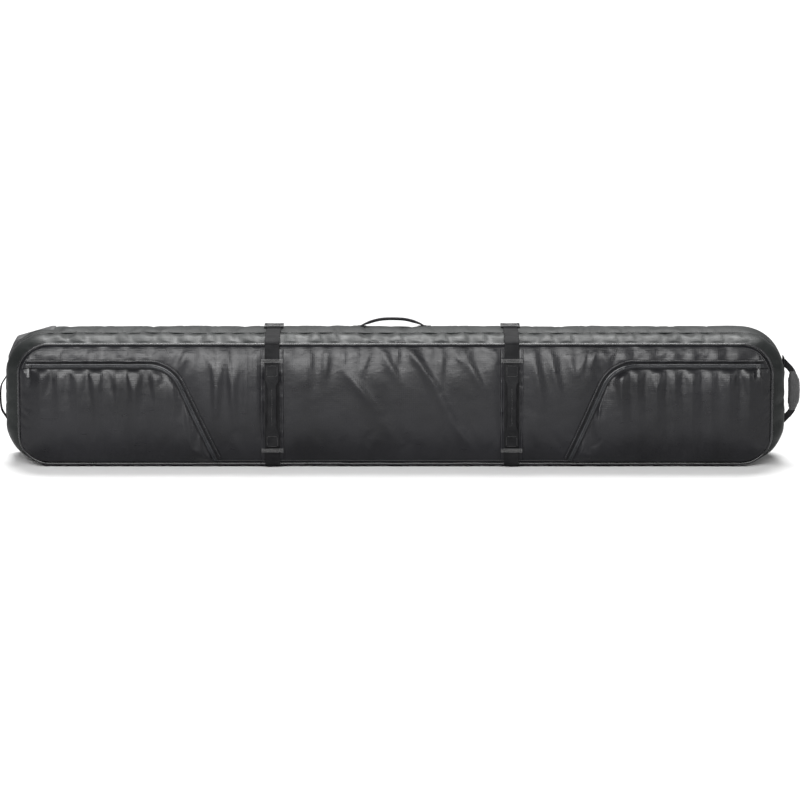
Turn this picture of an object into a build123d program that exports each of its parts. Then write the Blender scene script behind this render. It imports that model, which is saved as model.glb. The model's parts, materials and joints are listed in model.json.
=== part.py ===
"""Wheeled snowboard bag, standing on its long side.

X runs along the bag, from the wheel end (-X) to the tow-handle end (+X).
Y runs through the bag, from the opening front cover (-Y) to the back panel (+Y).
Z is up, and the bag rests on the plane Z = 0. The origin is the middle of the resting face.
All sizes are in millimetres.
"""

import os

from build123d import *

os.makedirs("parts", exist_ok=True)

# ---- driving dimensions ------------------------------------------------------------------

HALF_LENGTH = 840  # body, without its end handles
HEIGHT = 280  # the width of the bag, upright here
CORNER_RADIUS = 88
MID_FRONT_Y = -45  # the wall is full size between these two planes
MID_REAR_Y = 75
MOUTH_Y = -72  # front edge of the side wall, where the main zip is sewn
REAR_Y = 95  # rear edge of the side wall
REAR_HALF_LENGTH = HALF_LENGTH - 16  # the wall draws in towards its rear edge
REAR_LOW_Z = 12
REAR_HIGH_Z = HEIGHT - 13
REAR_RADIUS = CORNER_RADIUS - 14

COVER_HALF_LENGTH = 809  # centreline of the front piping
COVER_LOW_Z = 8
COVER_HIGH_Z = 268
COVER_RADIUS = 65
COVER_BACK_Y = -91
COVER_FACE_Y = -105  # outer face of the padded front cover
COVER_FACE_LOW_Z = 26
COVER_FACE_HIGH_Z = 250
COVER_FACE_RADIUS = 52
MOUTH_INSET = 5  # the wall's front edge lies this far inside the front piping

SKIN = 2.4  # coated fabric with its seam allowance
FOAM = 6
LINING = 0.8
PIPING_RADIUS = 3
EASE = 0.3  # room between neighbouring soft pieces

STRAP_X = {"left": -264, "right": 250}
STRAP_WIDTH = 32
STRAP_THICKNESS = 1.6
PLACKET_WIDTH = 50

ZIP_Y = -84.6  # chain of the main zip
MAIN_SLIDER_X = {"left": -29, "right": -1}
POCKET_ZIP_Z = 223
POCKET_SLIDER_X = {"left": -786, "right": 778}

WHEEL_X = -800
WHEEL_Y = 74
WHEEL_RADIUS = 38
WHEEL_WIDTH = 26
WHEEL_Z = {"lower": 72, "upper": 208}
AXLE_RADIUS = 4
AXLE_CLEARANCE = 0.05
PRESS_CLEARANCE = 0.02  # between pieces that are pressed or screwed together

TOP_HANDLE_X = -7
TOP_HANDLE_Y = 57
TOP_HANDLE_PIVOT_Z = 287
HAUL_PIVOT_X = -846
TOW_PIVOT_X = 847


# ---- helpers -----------------------------------------------------------------------------


def upright(y):
    """The upright plane at this depth: its x is X, its y is Z, and it faces the front."""
    return Plane.XZ.offset(-y)


def save(piece, name):
    piece.part.label = name
    export_step(piece.part, f"parts/{name}.step")


def outline(half_length, low, high, radius):
    """A rounded rectangle in an upright plane."""
    with Locations((0, (low + high) / 2)):
        RectangleRounded(2 * half_length, high - low, radius)


def loft_outlines(sections, inset=0.0, mode=Mode.ADD):
    """A solid through (y, half_length, low, high, radius) outlines, each drawn in by inset."""
    faces = []
    for y, half_length, low, high, radius in sections:
        with BuildSketch(upright(y)) as section:
            outline(half_length - inset, low + inset, high - inset, radius - inset)
        faces.append(section.sketch.face())
    loft(faces, ruled=True, mode=mode)


def hoop(front_y, rear_y, half_length, low, high, radius, thickness):
    """A straight hoop around the bag, thickness deep inwards from its outline."""
    with BuildSketch(upright(rear_y)) as ring:
        outline(half_length, low, high, radius)
        with Locations((0, (low + high) / 2)):
            RectangleRounded(
                2 * (half_length - thickness),
                high - low - 2 * thickness,
                radius - thickness,
                mode=Mode.SUBTRACT,
            )
    extrude(ring.sketch, amount=rear_y - front_y)


def box_between(low, high, mode=Mode.ADD):
    """A box given by two opposite corners."""
    size = [b - a for a, b in zip(low, high)]
    middle = [(a + b) / 2 for a, b in zip(low, high)]
    with Locations(tuple(middle)):
        Box(*size, mode=mode)


def webbing(x, width, points, radius, thickness=STRAP_THICKNESS):
    """A flat strap across X, following (y, z) points with rounded turns."""
    with BuildSketch(Plane.YZ.offset(x)) as profile:
        with BuildLine():
            FilletPolyline(*points, radius=radius)
        trace(line_width=thickness)
    extrude(profile.sketch, amount=width / 2, both=True)


# ---- side wall: top and bottom gussets and the two end walls ------------------------------

MOUTH_OUTLINE = (
    COVER_HALF_LENGTH - MOUTH_INSET,
    COVER_LOW_Z + MOUTH_INSET,
    COVER_HIGH_Z - MOUTH_INSET,
    COVER_RADIUS - MOUTH_INSET,
)
WALL_SECTIONS = [
    (REAR_Y, REAR_HALF_LENGTH, REAR_LOW_Z, REAR_HIGH_Z, REAR_RADIUS),
    (MID_REAR_Y, HALF_LENGTH, 0, HEIGHT, CORNER_RADIUS),
    (MID_FRONT_Y, HALF_LENGTH, 0, HEIGHT, CORNER_RADIUS),
    (MOUTH_Y, *MOUTH_OUTLINE),
]
END_SEAM_X = HALF_LENGTH - CORNER_RADIUS
MID_Z = HEIGHT / 2
FAR = 1000  # well outside the bag

HOUSING_INNER_X = -742
HOUSING_FRONT_Y = 24
HOUSING_REAR_Y = 99

WALL_ZONES = {
    "top_gusset": ((-END_SEAM_X, -FAR, MID_Z), (END_SEAM_X, FAR, FAR)),
    "bottom_gusset": ((-END_SEAM_X, -FAR, -FAR), (END_SEAM_X, FAR, MID_Z)),
    "wheel_end_wall": ((-FAR, -FAR, -FAR), (-END_SEAM_X, FAR, FAR)),
    "tow_end_wall": ((END_SEAM_X, -FAR, -FAR), (FAR, FAR, FAR)),
}
HOUSING_CUT = ((-FAR, HOUSING_FRONT_Y, -FAR), (HOUSING_INNER_X, FAR, FAR))
GROOVE_DEPTH = STRAP_THICKNESS + 0.4

for zone_name, zone in WALL_ZONES.items():
    with BuildPart() as wall:
        loft_outlines(WALL_SECTIONS)
        loft_outlines(WALL_SECTIONS, inset=SKIN, mode=Mode.SUBTRACT)
        box_between(*zone, mode=Mode.INTERSECT)
        box_between(*HOUSING_CUT, mode=Mode.SUBTRACT)
        if zone_name == "bottom_gusset":
            for strap_x in STRAP_X.values():
                half_groove = STRAP_WIDTH / 2 + EASE
                box_between(
                    (strap_x - half_groove, -FAR, -FAR),
                    (strap_x + half_groove, FAR, GROOVE_DEPTH),
                    mode=Mode.SUBTRACT,
                )
    save(wall, zone_name)

SEAM_Y = -14
SEAM_REAR_Y = -10
SEAM_RISE = 1.2
SEAM_DEPTH = 1.1
SEAM_LOW_Z = 70
# A raised seam divides the gusset into a front and a rear band, except underneath.
with BuildPart() as gusset_seam:
    hoop(
        SEAM_Y,
        SEAM_REAR_Y,
        HALF_LENGTH + SEAM_RISE,
        -SEAM_RISE,
        HEIGHT + SEAM_RISE,
        CORNER_RADIUS + SEAM_RISE,
        SEAM_DEPTH,
    )
    box_between((-FAR, -FAR, -FAR), (FAR, FAR, SEAM_LOW_Z), mode=Mode.SUBTRACT)
save(gusset_seam, "gusset_seam")

# Foam lies inside the skin, and the lining inside the foam.
FOAM_INSET = SKIN + EASE
LINING_INSET = FOAM_INSET + FOAM + EASE
INNER_HOUSING_CUT = ((-FAR, HOUSING_FRONT_Y - 1, -FAR), (HOUSING_INNER_X + 1, FAR, FAR))
for layer_name, layer_inset, layer_depth in (
    ("wall_padding", FOAM_INSET, FOAM),
    ("wall_lining", LINING_INSET, LINING),
):
    with BuildPart() as layer:
        loft_outlines(WALL_SECTIONS, inset=layer_inset)
        loft_outlines(WALL_SECTIONS, inset=layer_inset + layer_depth, mode=Mode.SUBTRACT)
        box_between(*INNER_HOUSING_CUT, mode=Mode.SUBTRACT)
    save(layer, layer_name)

# ---- back: panel, piping, stiffener and padding -------------------------------------------

BACK_THICKNESS = 3


def back_sheet(name, rear_y, thickness, inset):
    """A sheet parallel to the back panel, cut out for the wheel housing."""
    with BuildPart() as sheet:
        with BuildSketch(upright(rear_y)):
            outline(
                REAR_HALF_LENGTH - inset,
                REAR_LOW_Z + inset,
                REAR_HIGH_Z - inset,
                REAR_RADIUS - inset,
            )
        extrude(amount=thickness)
        box_between(*INNER_HOUSING_CUT, mode=Mode.SUBTRACT)
    save(sheet, name)


STIFFENER_INSET = LINING_INSET + 8
STIFFENER = 1.8
BACK_FOAM_REAR_Y = REAR_Y - EASE - STIFFENER - EASE
back_sheet("back_panel", REAR_Y + BACK_THICKNESS, BACK_THICKNESS, PIPING_RADIUS - 0.5)
back_sheet("base_stiffener", REAR_Y - EASE, STIFFENER, STIFFENER_INSET)
back_sheet("back_padding", BACK_FOAM_REAR_Y, FOAM, STIFFENER_INSET)
back_sheet("back_lining", BACK_FOAM_REAR_Y - FOAM - EASE, LINING, STIFFENER_INSET)


def piping(name, middle_y, half_length, low, high, radius):
    """A round cord in a fabric sleeve along an outline."""
    r = PIPING_RADIUS
    with BuildPart() as cord:
        hoop(middle_y - r, middle_y + r, half_length + r, low - r, high + r, radius + r, 2 * r)
        fillet(cord.edges(), radius=r - 0.4)
        if name == "rear_piping":
            box_between(*HOUSING_CUT, mode=Mode.SUBTRACT)
    save(cord, name)


REAR_PIPING_Y = REAR_Y + PIPING_RADIUS + EASE
piping(
    "rear_piping",
    REAR_PIPING_Y,
    REAR_HALF_LENGTH + 1,
    REAR_LOW_Z - 1,
    REAR_HIGH_Z + 1,
    REAR_RADIUS + 1,
)

# ---- wheel end: housing, axles, screws, wheels --------------------------------------------

HOUSING_WALL = 3
# Upper half of the housing's outline, from its inner edge out; the lower half mirrors it.
HOUSING_TOP_Z = HEIGHT - 1
HOUSING_OVERRUN = 100  # past its inner edge, where it is then cut off square
HOUSING_CORNERS = [
    (HOUSING_INNER_X + HOUSING_OVERRUN, HOUSING_TOP_Z),
    (-750, HOUSING_TOP_Z),
    (-827, 257),
    (-841, 224),
]
HOUSING_CORNER_RADIUS = 12
HOUSING_REAR_FILLET = 10
FLANGE_INSET = 10  # how far the front flange reaches in past the wall's corners
WELL_HALF_WIDTH = WHEEL_WIDTH / 2 + 3
WELL_INNER_X = -758
WELL_FRONT_Y = 32
SCREW_SPOTS = [(-752, 32), (-752, HEIGHT / 2), (-752, HEIGHT - 32), (-815, HEIGHT / 2)]
SCREW_SHANK_RADIUS = 2
SCREW_SHANK_LENGTH = 8
SCREW_HEAD_RADIUS = 4.2
SCREW_HEAD_HEIGHT = 2.2


def housing_face(y, inset=0.0):
    """The housing's end-on outline at a depth, drawn in by inset."""
    lower = [(x, HEIGHT - z) for x, z in reversed(HOUSING_CORNERS)]
    with BuildSketch(upright(y)) as section:
        with BuildLine():
            FilletPolyline(*HOUSING_CORNERS, *lower, radius=HOUSING_CORNER_RADIUS, close=True)
        make_face()
        if inset:
            offset(amount=-inset, kind=Kind.INTERSECTION, mode=Mode.REPLACE)
    return section.sketch


with BuildPart() as wheel_housing:
    extrude(housing_face(HOUSING_REAR_Y), amount=HOUSING_REAR_Y - HOUSING_FRONT_Y - EASE)
    box_between(
        (-FAR, -FAR, -FAR), (HOUSING_INNER_X - EASE, FAR, FAR), mode=Mode.INTERSECT
    )
    outer_corner = (
        wheel_housing.faces().sort_by(Axis.Y)[-1].edges().group_by(Axis.X)[0]
    )
    fillet(outer_corner, radius=HOUSING_REAR_FILLET)
    cavity_rear_y = HOUSING_REAR_Y - HOUSING_WALL
    flange_rear_y = HOUSING_FRONT_Y + EASE + HOUSING_WALL
    extrude(
        housing_face(cavity_rear_y, HOUSING_WALL),
        amount=cavity_rear_y - flange_rear_y,
        mode=Mode.SUBTRACT,
    )
    with BuildSketch(upright(flange_rear_y + 1)):
        outline(
            HALF_LENGTH - FLANGE_INSET,
            FLANGE_INSET,
            HEIGHT - FLANGE_INSET,
            CORNER_RADIUS - FLANGE_INSET,
        )
    extrude(amount=FAR, mode=Mode.SUBTRACT)
    for wheel_z in WHEEL_Z.values():
        half_block = WELL_HALF_WIDTH + HOUSING_WALL
        box_between(
            (-HALF_LENGTH + 1, WELL_FRONT_Y - HOUSING_WALL, wheel_z - half_block),
            (WELL_INNER_X + HOUSING_WALL, HOUSING_REAR_Y - 1, wheel_z + half_block),
        )
        box_between(
            (-FAR, WELL_FRONT_Y, wheel_z - WELL_HALF_WIDTH),
            (WELL_INNER_X, FAR, wheel_z + WELL_HALF_WIDTH),
            mode=Mode.SUBTRACT,
        )
        with BuildSketch(Plane.XY.offset(wheel_z)):
            with Locations((WHEEL_X, WHEEL_Y)):
                Circle(AXLE_RADIUS + PRESS_CLEARANCE)
        extrude(amount=half_block + 1, both=True, mode=Mode.SUBTRACT)
    with BuildSketch(upright(HOUSING_REAR_Y)):
        with Locations(*SCREW_SPOTS):
            Circle(SCREW_SHANK_RADIUS + PRESS_CLEARANCE)
    extrude(amount=HOUSING_WALL + 1, mode=Mode.SUBTRACT)
save(wheel_housing, "wheel_housing")

with BuildPart() as housing_screws:
    with BuildSketch(upright(HOUSING_REAR_Y)):
        with Locations(*SCREW_SPOTS):
            Circle(SCREW_SHANK_RADIUS)
    extrude(amount=SCREW_SHANK_LENGTH)
    with BuildSketch(upright(HOUSING_REAR_Y + SCREW_HEAD_HEIGHT)):
        with Locations(*SCREW_SPOTS):
            Circle(SCREW_HEAD_RADIUS)
    extrude(amount=SCREW_HEAD_HEIGHT)
save(housing_screws, "housing_screws")

with BuildPart() as wheel_axles:
    for wheel_z in WHEEL_Z.values():
        with BuildSketch(Plane.XY.offset(wheel_z)):
            with Locations((WHEEL_X, WHEEL_Y)):
                Circle(AXLE_RADIUS)
        extrude(amount=WELL_HALF_WIDTH + HOUSING_WALL, both=True)
save(wheel_axles, "wheel_axles")

BEARING_RADIUS = 11
BEARING_WIDTH = 7
BEARING_RECESS = 1.5  # in from the sides of the tyre
HUB_RADIUS = 24
HUB_RECESS = 1
HUB_HOLES = 6
HUB_HOLE_CIRCLE = 17.5
HUB_HOLE_RADIUS = 4
TREAD_RADIUS = 6


def turned(wheel_z, rings):
    """Rings around the wheel axis, each (inner radius, outer radius, low, high) from mid-wheel."""
    for inner, outer, low, high in rings:
        with BuildSketch(Plane.XY.offset(wheel_z + low)) as ring:
            with Locations((WHEEL_X, WHEEL_Y)):
                Circle(outer)
                Circle(inner, mode=Mode.SUBTRACT)
        extrude(ring.sketch, amount=high - low)


half_width = WHEEL_WIDTH / 2
for level, wheel_z in WHEEL_Z.items():
    with BuildPart() as tyre:
        turned(wheel_z, [(HUB_RADIUS + PRESS_CLEARANCE, WHEEL_RADIUS, -half_width, half_width)])
        tread_edges = tyre.edges().filter_by(GeomType.CIRCLE).group_by(SortBy.RADIUS)[-1]
        fillet(tread_edges, radius=TREAD_RADIUS)
    save(tyre, f"{level}_tyre")

    with BuildPart() as hub:
        hub_reach = half_width - HUB_RECESS
        turned(wheel_z, [(BEARING_RADIUS + PRESS_CLEARANCE, HUB_RADIUS, -hub_reach, hub_reach)])
        with BuildSketch(Plane.XY.offset(wheel_z - half_width)):
            with Locations((WHEEL_X, WHEEL_Y)):
                with PolarLocations(HUB_HOLE_CIRCLE, HUB_HOLES):
                    Circle(HUB_HOLE_RADIUS)
        extrude(amount=WHEEL_WIDTH, mode=Mode.SUBTRACT)
    save(hub, f"{level}_hub")

    bearing_reach = half_width - BEARING_RECESS
    bore = AXLE_RADIUS + AXLE_CLEARANCE
    with BuildPart() as bearings:
        turned(
            wheel_z,
            [
                (bore, BEARING_RADIUS, -bearing_reach, -bearing_reach + BEARING_WIDTH),
                (bore, BEARING_RADIUS, bearing_reach - BEARING_WIDTH, bearing_reach),
            ],
        )
    save(bearings, f"{level}_bearings")

# ---- main zip: one tape on the wall, one on the cover, a fabric hinge underneath -----------

ZIP_TAPE = 1.5
ZIP_GAP = 0.2  # between the two tapes, and at each tape's sewn edge
ZIP_END_Z = 45  # the zip stops this high at both ends of the bag

for tape_name, tape_front_y, tape_rear_y in (
    ("main_zip_wall_tape", ZIP_Y + ZIP_GAP, MOUTH_Y - ZIP_GAP),
    ("main_zip_cover_tape", COVER_BACK_Y + ZIP_GAP, ZIP_Y - ZIP_GAP),
):
    with BuildPart() as zip_tape:
        hoop(tape_front_y, tape_rear_y, *MOUTH_OUTLINE, ZIP_TAPE)
        box_between((-FAR, -FAR, -FAR), (FAR, FAR, ZIP_END_Z), mode=Mode.SUBTRACT)
    save(zip_tape, tape_name)

with BuildPart() as hinge_strip:
    hoop(ZIP_Y + ZIP_GAP, MOUTH_Y - ZIP_GAP, *MOUTH_OUTLINE, ZIP_TAPE)
    box_between((-FAR, -FAR, ZIP_END_Z - EASE), (FAR, FAR, FAR), mode=Mode.SUBTRACT)
save(hinge_strip, "hinge_strip")

# ---- front cover ---------------------------------------------------------------------------

COVER_EDGE_INSET = PIPING_RADIUS + 0.2
COVER_FACE_INSET = 12  # how far the face's ends lie inside the piping
COVER_SECTIONS = [
    (
        COVER_BACK_Y,
        COVER_HALF_LENGTH - COVER_EDGE_INSET,
        COVER_LOW_Z + COVER_EDGE_INSET,
        COVER_HIGH_Z - COVER_EDGE_INSET,
        COVER_RADIUS - COVER_EDGE_INSET,
    ),
    (
        COVER_FACE_Y,
        COVER_HALF_LENGTH - COVER_FACE_INSET,
        COVER_FACE_LOW_Z,
        COVER_FACE_HIGH_Z,
        COVER_FACE_RADIUS,
    ),
]
CAVITY_SECTIONS = [
    (COVER_BACK_Y, *COVER_SECTIONS[0][1:]),
    (COVER_FACE_Y + SKIN, *COVER_SECTIONS[1][1:]),
]
with BuildPart() as front_panel:
    loft_outlines(COVER_SECTIONS)
    loft_outlines(CAVITY_SECTIONS, inset=SKIN, mode=Mode.SUBTRACT)
save(front_panel, "front_panel")

COVER_SHEET_INSET = 5
COVER_FOAM = 6.5
COVER_FOAM_REAR_Y = COVER_BACK_Y - 4.5
COVER_LINING_REAR_Y = COVER_BACK_Y - 1.5
for sheet_name, sheet_rear_y, sheet_depth in (
    ("front_padding", COVER_FOAM_REAR_Y, COVER_FOAM),
    ("front_lining", COVER_LINING_REAR_Y, LINING),
):
    with BuildPart() as cover_sheet:
        with BuildSketch(upright(sheet_rear_y)):
            outline(
                COVER_SECTIONS[1][1] - COVER_SHEET_INSET,
                COVER_FACE_LOW_Z + COVER_SHEET_INSET,
                COVER_FACE_HIGH_Z - COVER_SHEET_INSET,
                COVER_FACE_RADIUS - COVER_SHEET_INSET,
            )
        extrude(amount=sheet_depth)
    save(cover_sheet, sheet_name)

piping(
    "front_piping",
    COVER_BACK_Y - PIPING_RADIUS,
    COVER_HALF_LENGTH,
    COVER_LOW_Z,
    COVER_HIGH_Z,
    COVER_RADIUS,
)

# ---- cover pockets ---------------------------------------------------------------------------

LAYER_Y = COVER_FACE_Y - EASE  # rear face of what is sewn onto the cover
POCKET_SKIN = 1.2
POCKET_ZIP_WIDTH = 16
POCKET_ZIP_THICKNESS = POCKET_SKIN + 0.4
# Each pocket, from its outer end: where the zip's straight run ends, where its diagonal run
# meets the lower edge, and the cover's face between them.
POCKETS = {"left": (-482, -392, -790), "right": (466, 381, 790)}
POCKET_FLOOR_Z = 29
POCKET_ZIP_LOW_Z = POCKET_FLOOR_Z - 1
POCKET_BEND = 70
PANEL_SHIFT = 9  # the panel's corner and foot start this far out from the zip's
POCKET_END_INSET = 14
POCKET_EDGE_INSET = 2


def pocket_zip_line(bend_x, foot_x, outer_x):
    """Along the zip's middle: straight run, round bend, diagonal run to the lower edge."""
    return FilletPolyline(
        (outer_x, POCKET_ZIP_Z),
        (bend_x, POCKET_ZIP_Z),
        (foot_x, POCKET_FLOOR_Z),
        radius=POCKET_BEND,
    )


for side, (bend_x, foot_x, outer_x) in POCKETS.items():
    panel_shift = -PANEL_SHIFT if side == "left" else PANEL_SHIFT
    with BuildPart() as pocket_zip:
        with BuildSketch(upright(LAYER_Y)):
            with BuildLine():
                pocket_zip_line(bend_x, foot_x, outer_x)
            trace(line_width=POCKET_ZIP_WIDTH)
        extrude(amount=POCKET_ZIP_THICKNESS)
        box_between((-FAR, -FAR, -FAR), (FAR, FAR, POCKET_ZIP_LOW_Z), mode=Mode.SUBTRACT)
    save(pocket_zip, f"{side}_pocket_zip")

    reach = POCKET_ZIP_WIDTH / 2 + EASE  # the panel starts beside the zip
    with BuildPart() as pocket_panel:
        with BuildSketch(upright(LAYER_Y)):
            with BuildLine():
                pocket_zip_line(bend_x + panel_shift, foot_x + panel_shift, outer_x)
                lower_end = (foot_x + panel_shift, POCKET_FLOOR_Z)
                Polyline(lower_end, (outer_x, POCKET_FLOOR_Z), (outer_x, POCKET_ZIP_Z))
            make_face()
            with BuildLine(mode=Mode.PRIVATE) as zip_line:
                pocket_zip_line(bend_x, foot_x, outer_x)
            trace(zip_line.line, line_width=2 * reach, mode=Mode.SUBTRACT)
            with Locations((0, (COVER_FACE_LOW_Z + COVER_FACE_HIGH_Z) / 2)):
                RectangleRounded(
                    2 * (COVER_HALF_LENGTH - POCKET_END_INSET),
                    COVER_FACE_HIGH_Z - COVER_FACE_LOW_Z - 2 * POCKET_EDGE_INSET,
                    COVER_FACE_RADIUS - POCKET_EDGE_INSET,
                    mode=Mode.INTERSECT,
                )
        extrude(amount=POCKET_SKIN)
    save(pocket_panel, f"{side}_pocket_panel")

# ---- compression straps, grab handles and buckles ------------------------------------------

PLACKET_THICKNESS = 1.2
PLACKET_INSET = 8
STRAP_Y = COVER_FACE_Y - 2.5  # middle of the strap on the cover
FOLD_Y = -99.5  # where the strap leaves the cover at its edges
STRAP_LOW_Z = 8
STRAP_HIGH_Z = 270
RELEASE_Y = -95.5  # the strap folds here, over the front piping
RELEASE_Z = 275.5
TOP_STRAP_Z = HEIGHT + 2.4
STITCH_BAR_Z = (40, 235)
STITCH_BAR_WIDTH = 40
STITCH_BAR_HALF_HEIGHT = 4
STITCH_BAR_FRONT_Y = STRAP_Y - 2.2

GRAB_WIDTH = 28
GRAB_THICKNESS = 2.4
GRAB_SEWN_Y = STRAP_Y - 2
GRAB_BOWED_Y = STRAP_Y - 11.5
BUCKLE_FRONT_Y = 28
BUCKLE_REAR_Y = 76
BUCKLE_WIDTH = 42
BUCKLE_HEIGHT = 6.5
BUCKLE_SLOTS = ((37, 5.2), (52, 3.5), (67, 4))  # middle and half width of each, along Y
BUCKLE_SLOT_HALF = STRAP_WIDTH / 2 + 0.6
CATCH_Y = BUCKLE_REAR_Y + 1.5
CATCH_HALF = 19
CATCH_DEPTH = 7
CATCH_TOP_Z = HEIGHT + 4.5
REAR_STRAP_Y = REAR_PIPING_Y + 6
UNDER_STRAP_Z = 1.05
REAR_STRAP_TOP_Z = HEIGHT + 1.4
BUCKLE_GRIP = 8  # how far a strap reaches into its buckle
BUCKLE_LOW_Z = TOP_STRAP_Z - 1.4
BUCKLE_CORNER = 4
STRAP_CLEARANCE_Z = TOP_STRAP_Z + 1.2

# The middles of the straps, as (y, z) points.
GRAB_POINTS = [
    (GRAB_SEWN_Y, 48),
    (GRAB_SEWN_Y, 64),
    (GRAB_BOWED_Y, 90),
    (GRAB_BOWED_Y, 180),
    (GRAB_SEWN_Y, 207),
    (GRAB_SEWN_Y, 227),
]
FRONT_STRAP_POINTS = [
    (FOLD_Y, STRAP_LOW_Z),
    (STRAP_Y, COVER_FACE_LOW_Z + 4),
    (STRAP_Y, COVER_FACE_HIGH_Z - 3),
    (FOLD_Y, STRAP_HIGH_Z),
]
TOP_STRAP_POINTS = [
    (RELEASE_Y, RELEASE_Z),
    (MID_FRONT_Y - 4, TOP_STRAP_Z),
    (BUCKLE_FRONT_Y + BUCKLE_GRIP, TOP_STRAP_Z),
]
REAR_STRAP_POINTS = [
    (CATCH_Y + CATCH_DEPTH + 1, REAR_STRAP_TOP_Z),
    (MID_REAR_Y + 14, REAR_STRAP_TOP_Z),
    (REAR_STRAP_Y, HEIGHT - 4),
    (REAR_STRAP_Y, 5),
    (MID_REAR_Y + 6, UNDER_STRAP_Z),
    (MID_FRONT_Y, UNDER_STRAP_Z),
]

for side, strap_x in STRAP_X.items():
    with BuildPart() as placket:
        box_between(
            (
                strap_x - PLACKET_WIDTH / 2,
                LAYER_Y - PLACKET_THICKNESS,
                COVER_FACE_LOW_Z + PLACKET_INSET,
            ),
            (strap_x + PLACKET_WIDTH / 2, LAYER_Y, COVER_FACE_HIGH_Z - PLACKET_INSET),
        )
    save(placket, f"{side}_placket")

    with BuildPart() as front_strap:
        webbing(strap_x, STRAP_WIDTH, FRONT_STRAP_POINTS, radius=5)
        for bar_z in STITCH_BAR_Z:
            box_between(
                (
                    strap_x - STITCH_BAR_WIDTH / 2,
                    STITCH_BAR_FRONT_Y,
                    bar_z - STITCH_BAR_HALF_HEIGHT,
                ),
                (strap_x + STITCH_BAR_WIDTH / 2, STRAP_Y, bar_z + STITCH_BAR_HALF_HEIGHT),
            )
    save(front_strap, f"{side}_front_strap")

    with BuildPart() as grab_handle:
        webbing(strap_x, GRAB_WIDTH, GRAB_POINTS, radius=12, thickness=GRAB_THICKNESS)
    save(grab_handle, f"{side}_grab_handle")

    with BuildPart() as top_strap:
        webbing(strap_x, STRAP_WIDTH, TOP_STRAP_POINTS, radius=20)
    save(top_strap, f"{side}_top_strap")

    with BuildPart() as buckle:
        box_between(
            (strap_x - BUCKLE_WIDTH / 2, BUCKLE_FRONT_Y, BUCKLE_LOW_Z),
            (strap_x + BUCKLE_WIDTH / 2, BUCKLE_REAR_Y, BUCKLE_LOW_Z + BUCKLE_HEIGHT),
        )
        fillet(buckle.edges().filter_by(Axis.Z), radius=BUCKLE_CORNER)
        fillet(buckle.faces().sort_by(Axis.Z)[-1].edges(), radius=1.2)
        for slot_y, slot_half in BUCKLE_SLOTS:
            box_between(
                (strap_x - BUCKLE_SLOT_HALF, slot_y - slot_half, -FAR),
                (strap_x + BUCKLE_SLOT_HALF, slot_y + slot_half, FAR),
                mode=Mode.SUBTRACT,
            )
        # the strap comes in over the front bar
        box_between(
            (strap_x - BUCKLE_SLOT_HALF, -FAR, -FAR),
            (strap_x + BUCKLE_SLOT_HALF, BUCKLE_FRONT_Y + BUCKLE_GRIP, STRAP_CLEARANCE_Z),
            mode=Mode.SUBTRACT,
        )
    save(buckle, f"{side}_buckle")

    with BuildPart() as catch:
        box_between(
            (strap_x - CATCH_HALF, CATCH_Y, HEIGHT + EASE),
            (strap_x + CATCH_HALF, CATCH_Y + CATCH_DEPTH, CATCH_TOP_Z),
        )
        fillet(catch.edges().filter_by(Axis.X).group_by(Axis.Z)[-1], radius=1.6)
    save(catch, f"{side}_strap_catch")

    # Behind and under the bag, the strap lies in a groove where the bag stands on it.
    with BuildPart() as rear_strap:
        webbing(strap_x, STRAP_WIDTH, REAR_STRAP_POINTS, radius=3)
    save(rear_strap, f"{side}_rear_strap")

# ---- zip sliders and pulls -----------------------------------------------------------------

SLIDER_LENGTH = 12
SLIDER_WIDTH = 9
SLIDER_CORNER = 2.5
SLIDER_EDGE = 1
PULL_LENGTH = 26
PULL_WIDTH = 7
PULL_THICKNESS = 2
PULL_CORNER = 3
PULL_EYE = 2  # from a pull's end to its pivot
MAIN_TAPE_TOP_Z = COVER_HIGH_Z - MOUTH_INSET
MAIN_SLIDER_TOP_Z = MAIN_TAPE_TOP_Z + 6.9
MAIN_PULL_Z = MAIN_SLIDER_TOP_Z + 1.6  # pivot

for side, slider_x in MAIN_SLIDER_X.items():
    outward = -1 if side == "left" else 1
    with BuildPart() as main_slider:
        box_between(
            (slider_x - SLIDER_LENGTH / 2, ZIP_Y - SLIDER_WIDTH / 2, MAIN_TAPE_TOP_Z + 0.4),
            (slider_x + SLIDER_LENGTH / 2, ZIP_Y + SLIDER_WIDTH / 2, MAIN_SLIDER_TOP_Z),
        )
        fillet(main_slider.edges().filter_by(Axis.Z), radius=SLIDER_CORNER)
        fillet(main_slider.faces().sort_by(Axis.Z)[-1].edges(), radius=SLIDER_EDGE)
    save(main_slider, f"{side}_main_slider")

    pull_start = slider_x - outward
    with BuildPart() as main_pull:
        with BuildSketch(Plane.XY.offset(MAIN_PULL_Z - PULL_THICKNESS / 2)):
            with Locations((pull_start + outward * PULL_LENGTH / 2, ZIP_Y)):
                RectangleRounded(PULL_LENGTH, PULL_WIDTH, PULL_CORNER)
        extrude(amount=PULL_THICKNESS)
    save(main_pull, f"{side}_main_pull")

POCKET_SLIDER_REAR_Y = LAYER_Y - POCKET_SKIN - 0.8
POCKET_SLIDER_FRONT_Y = POCKET_SLIDER_REAR_Y - 4.5
POCKET_PULL_Y = POCKET_SLIDER_FRONT_Y - 0.6

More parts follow.
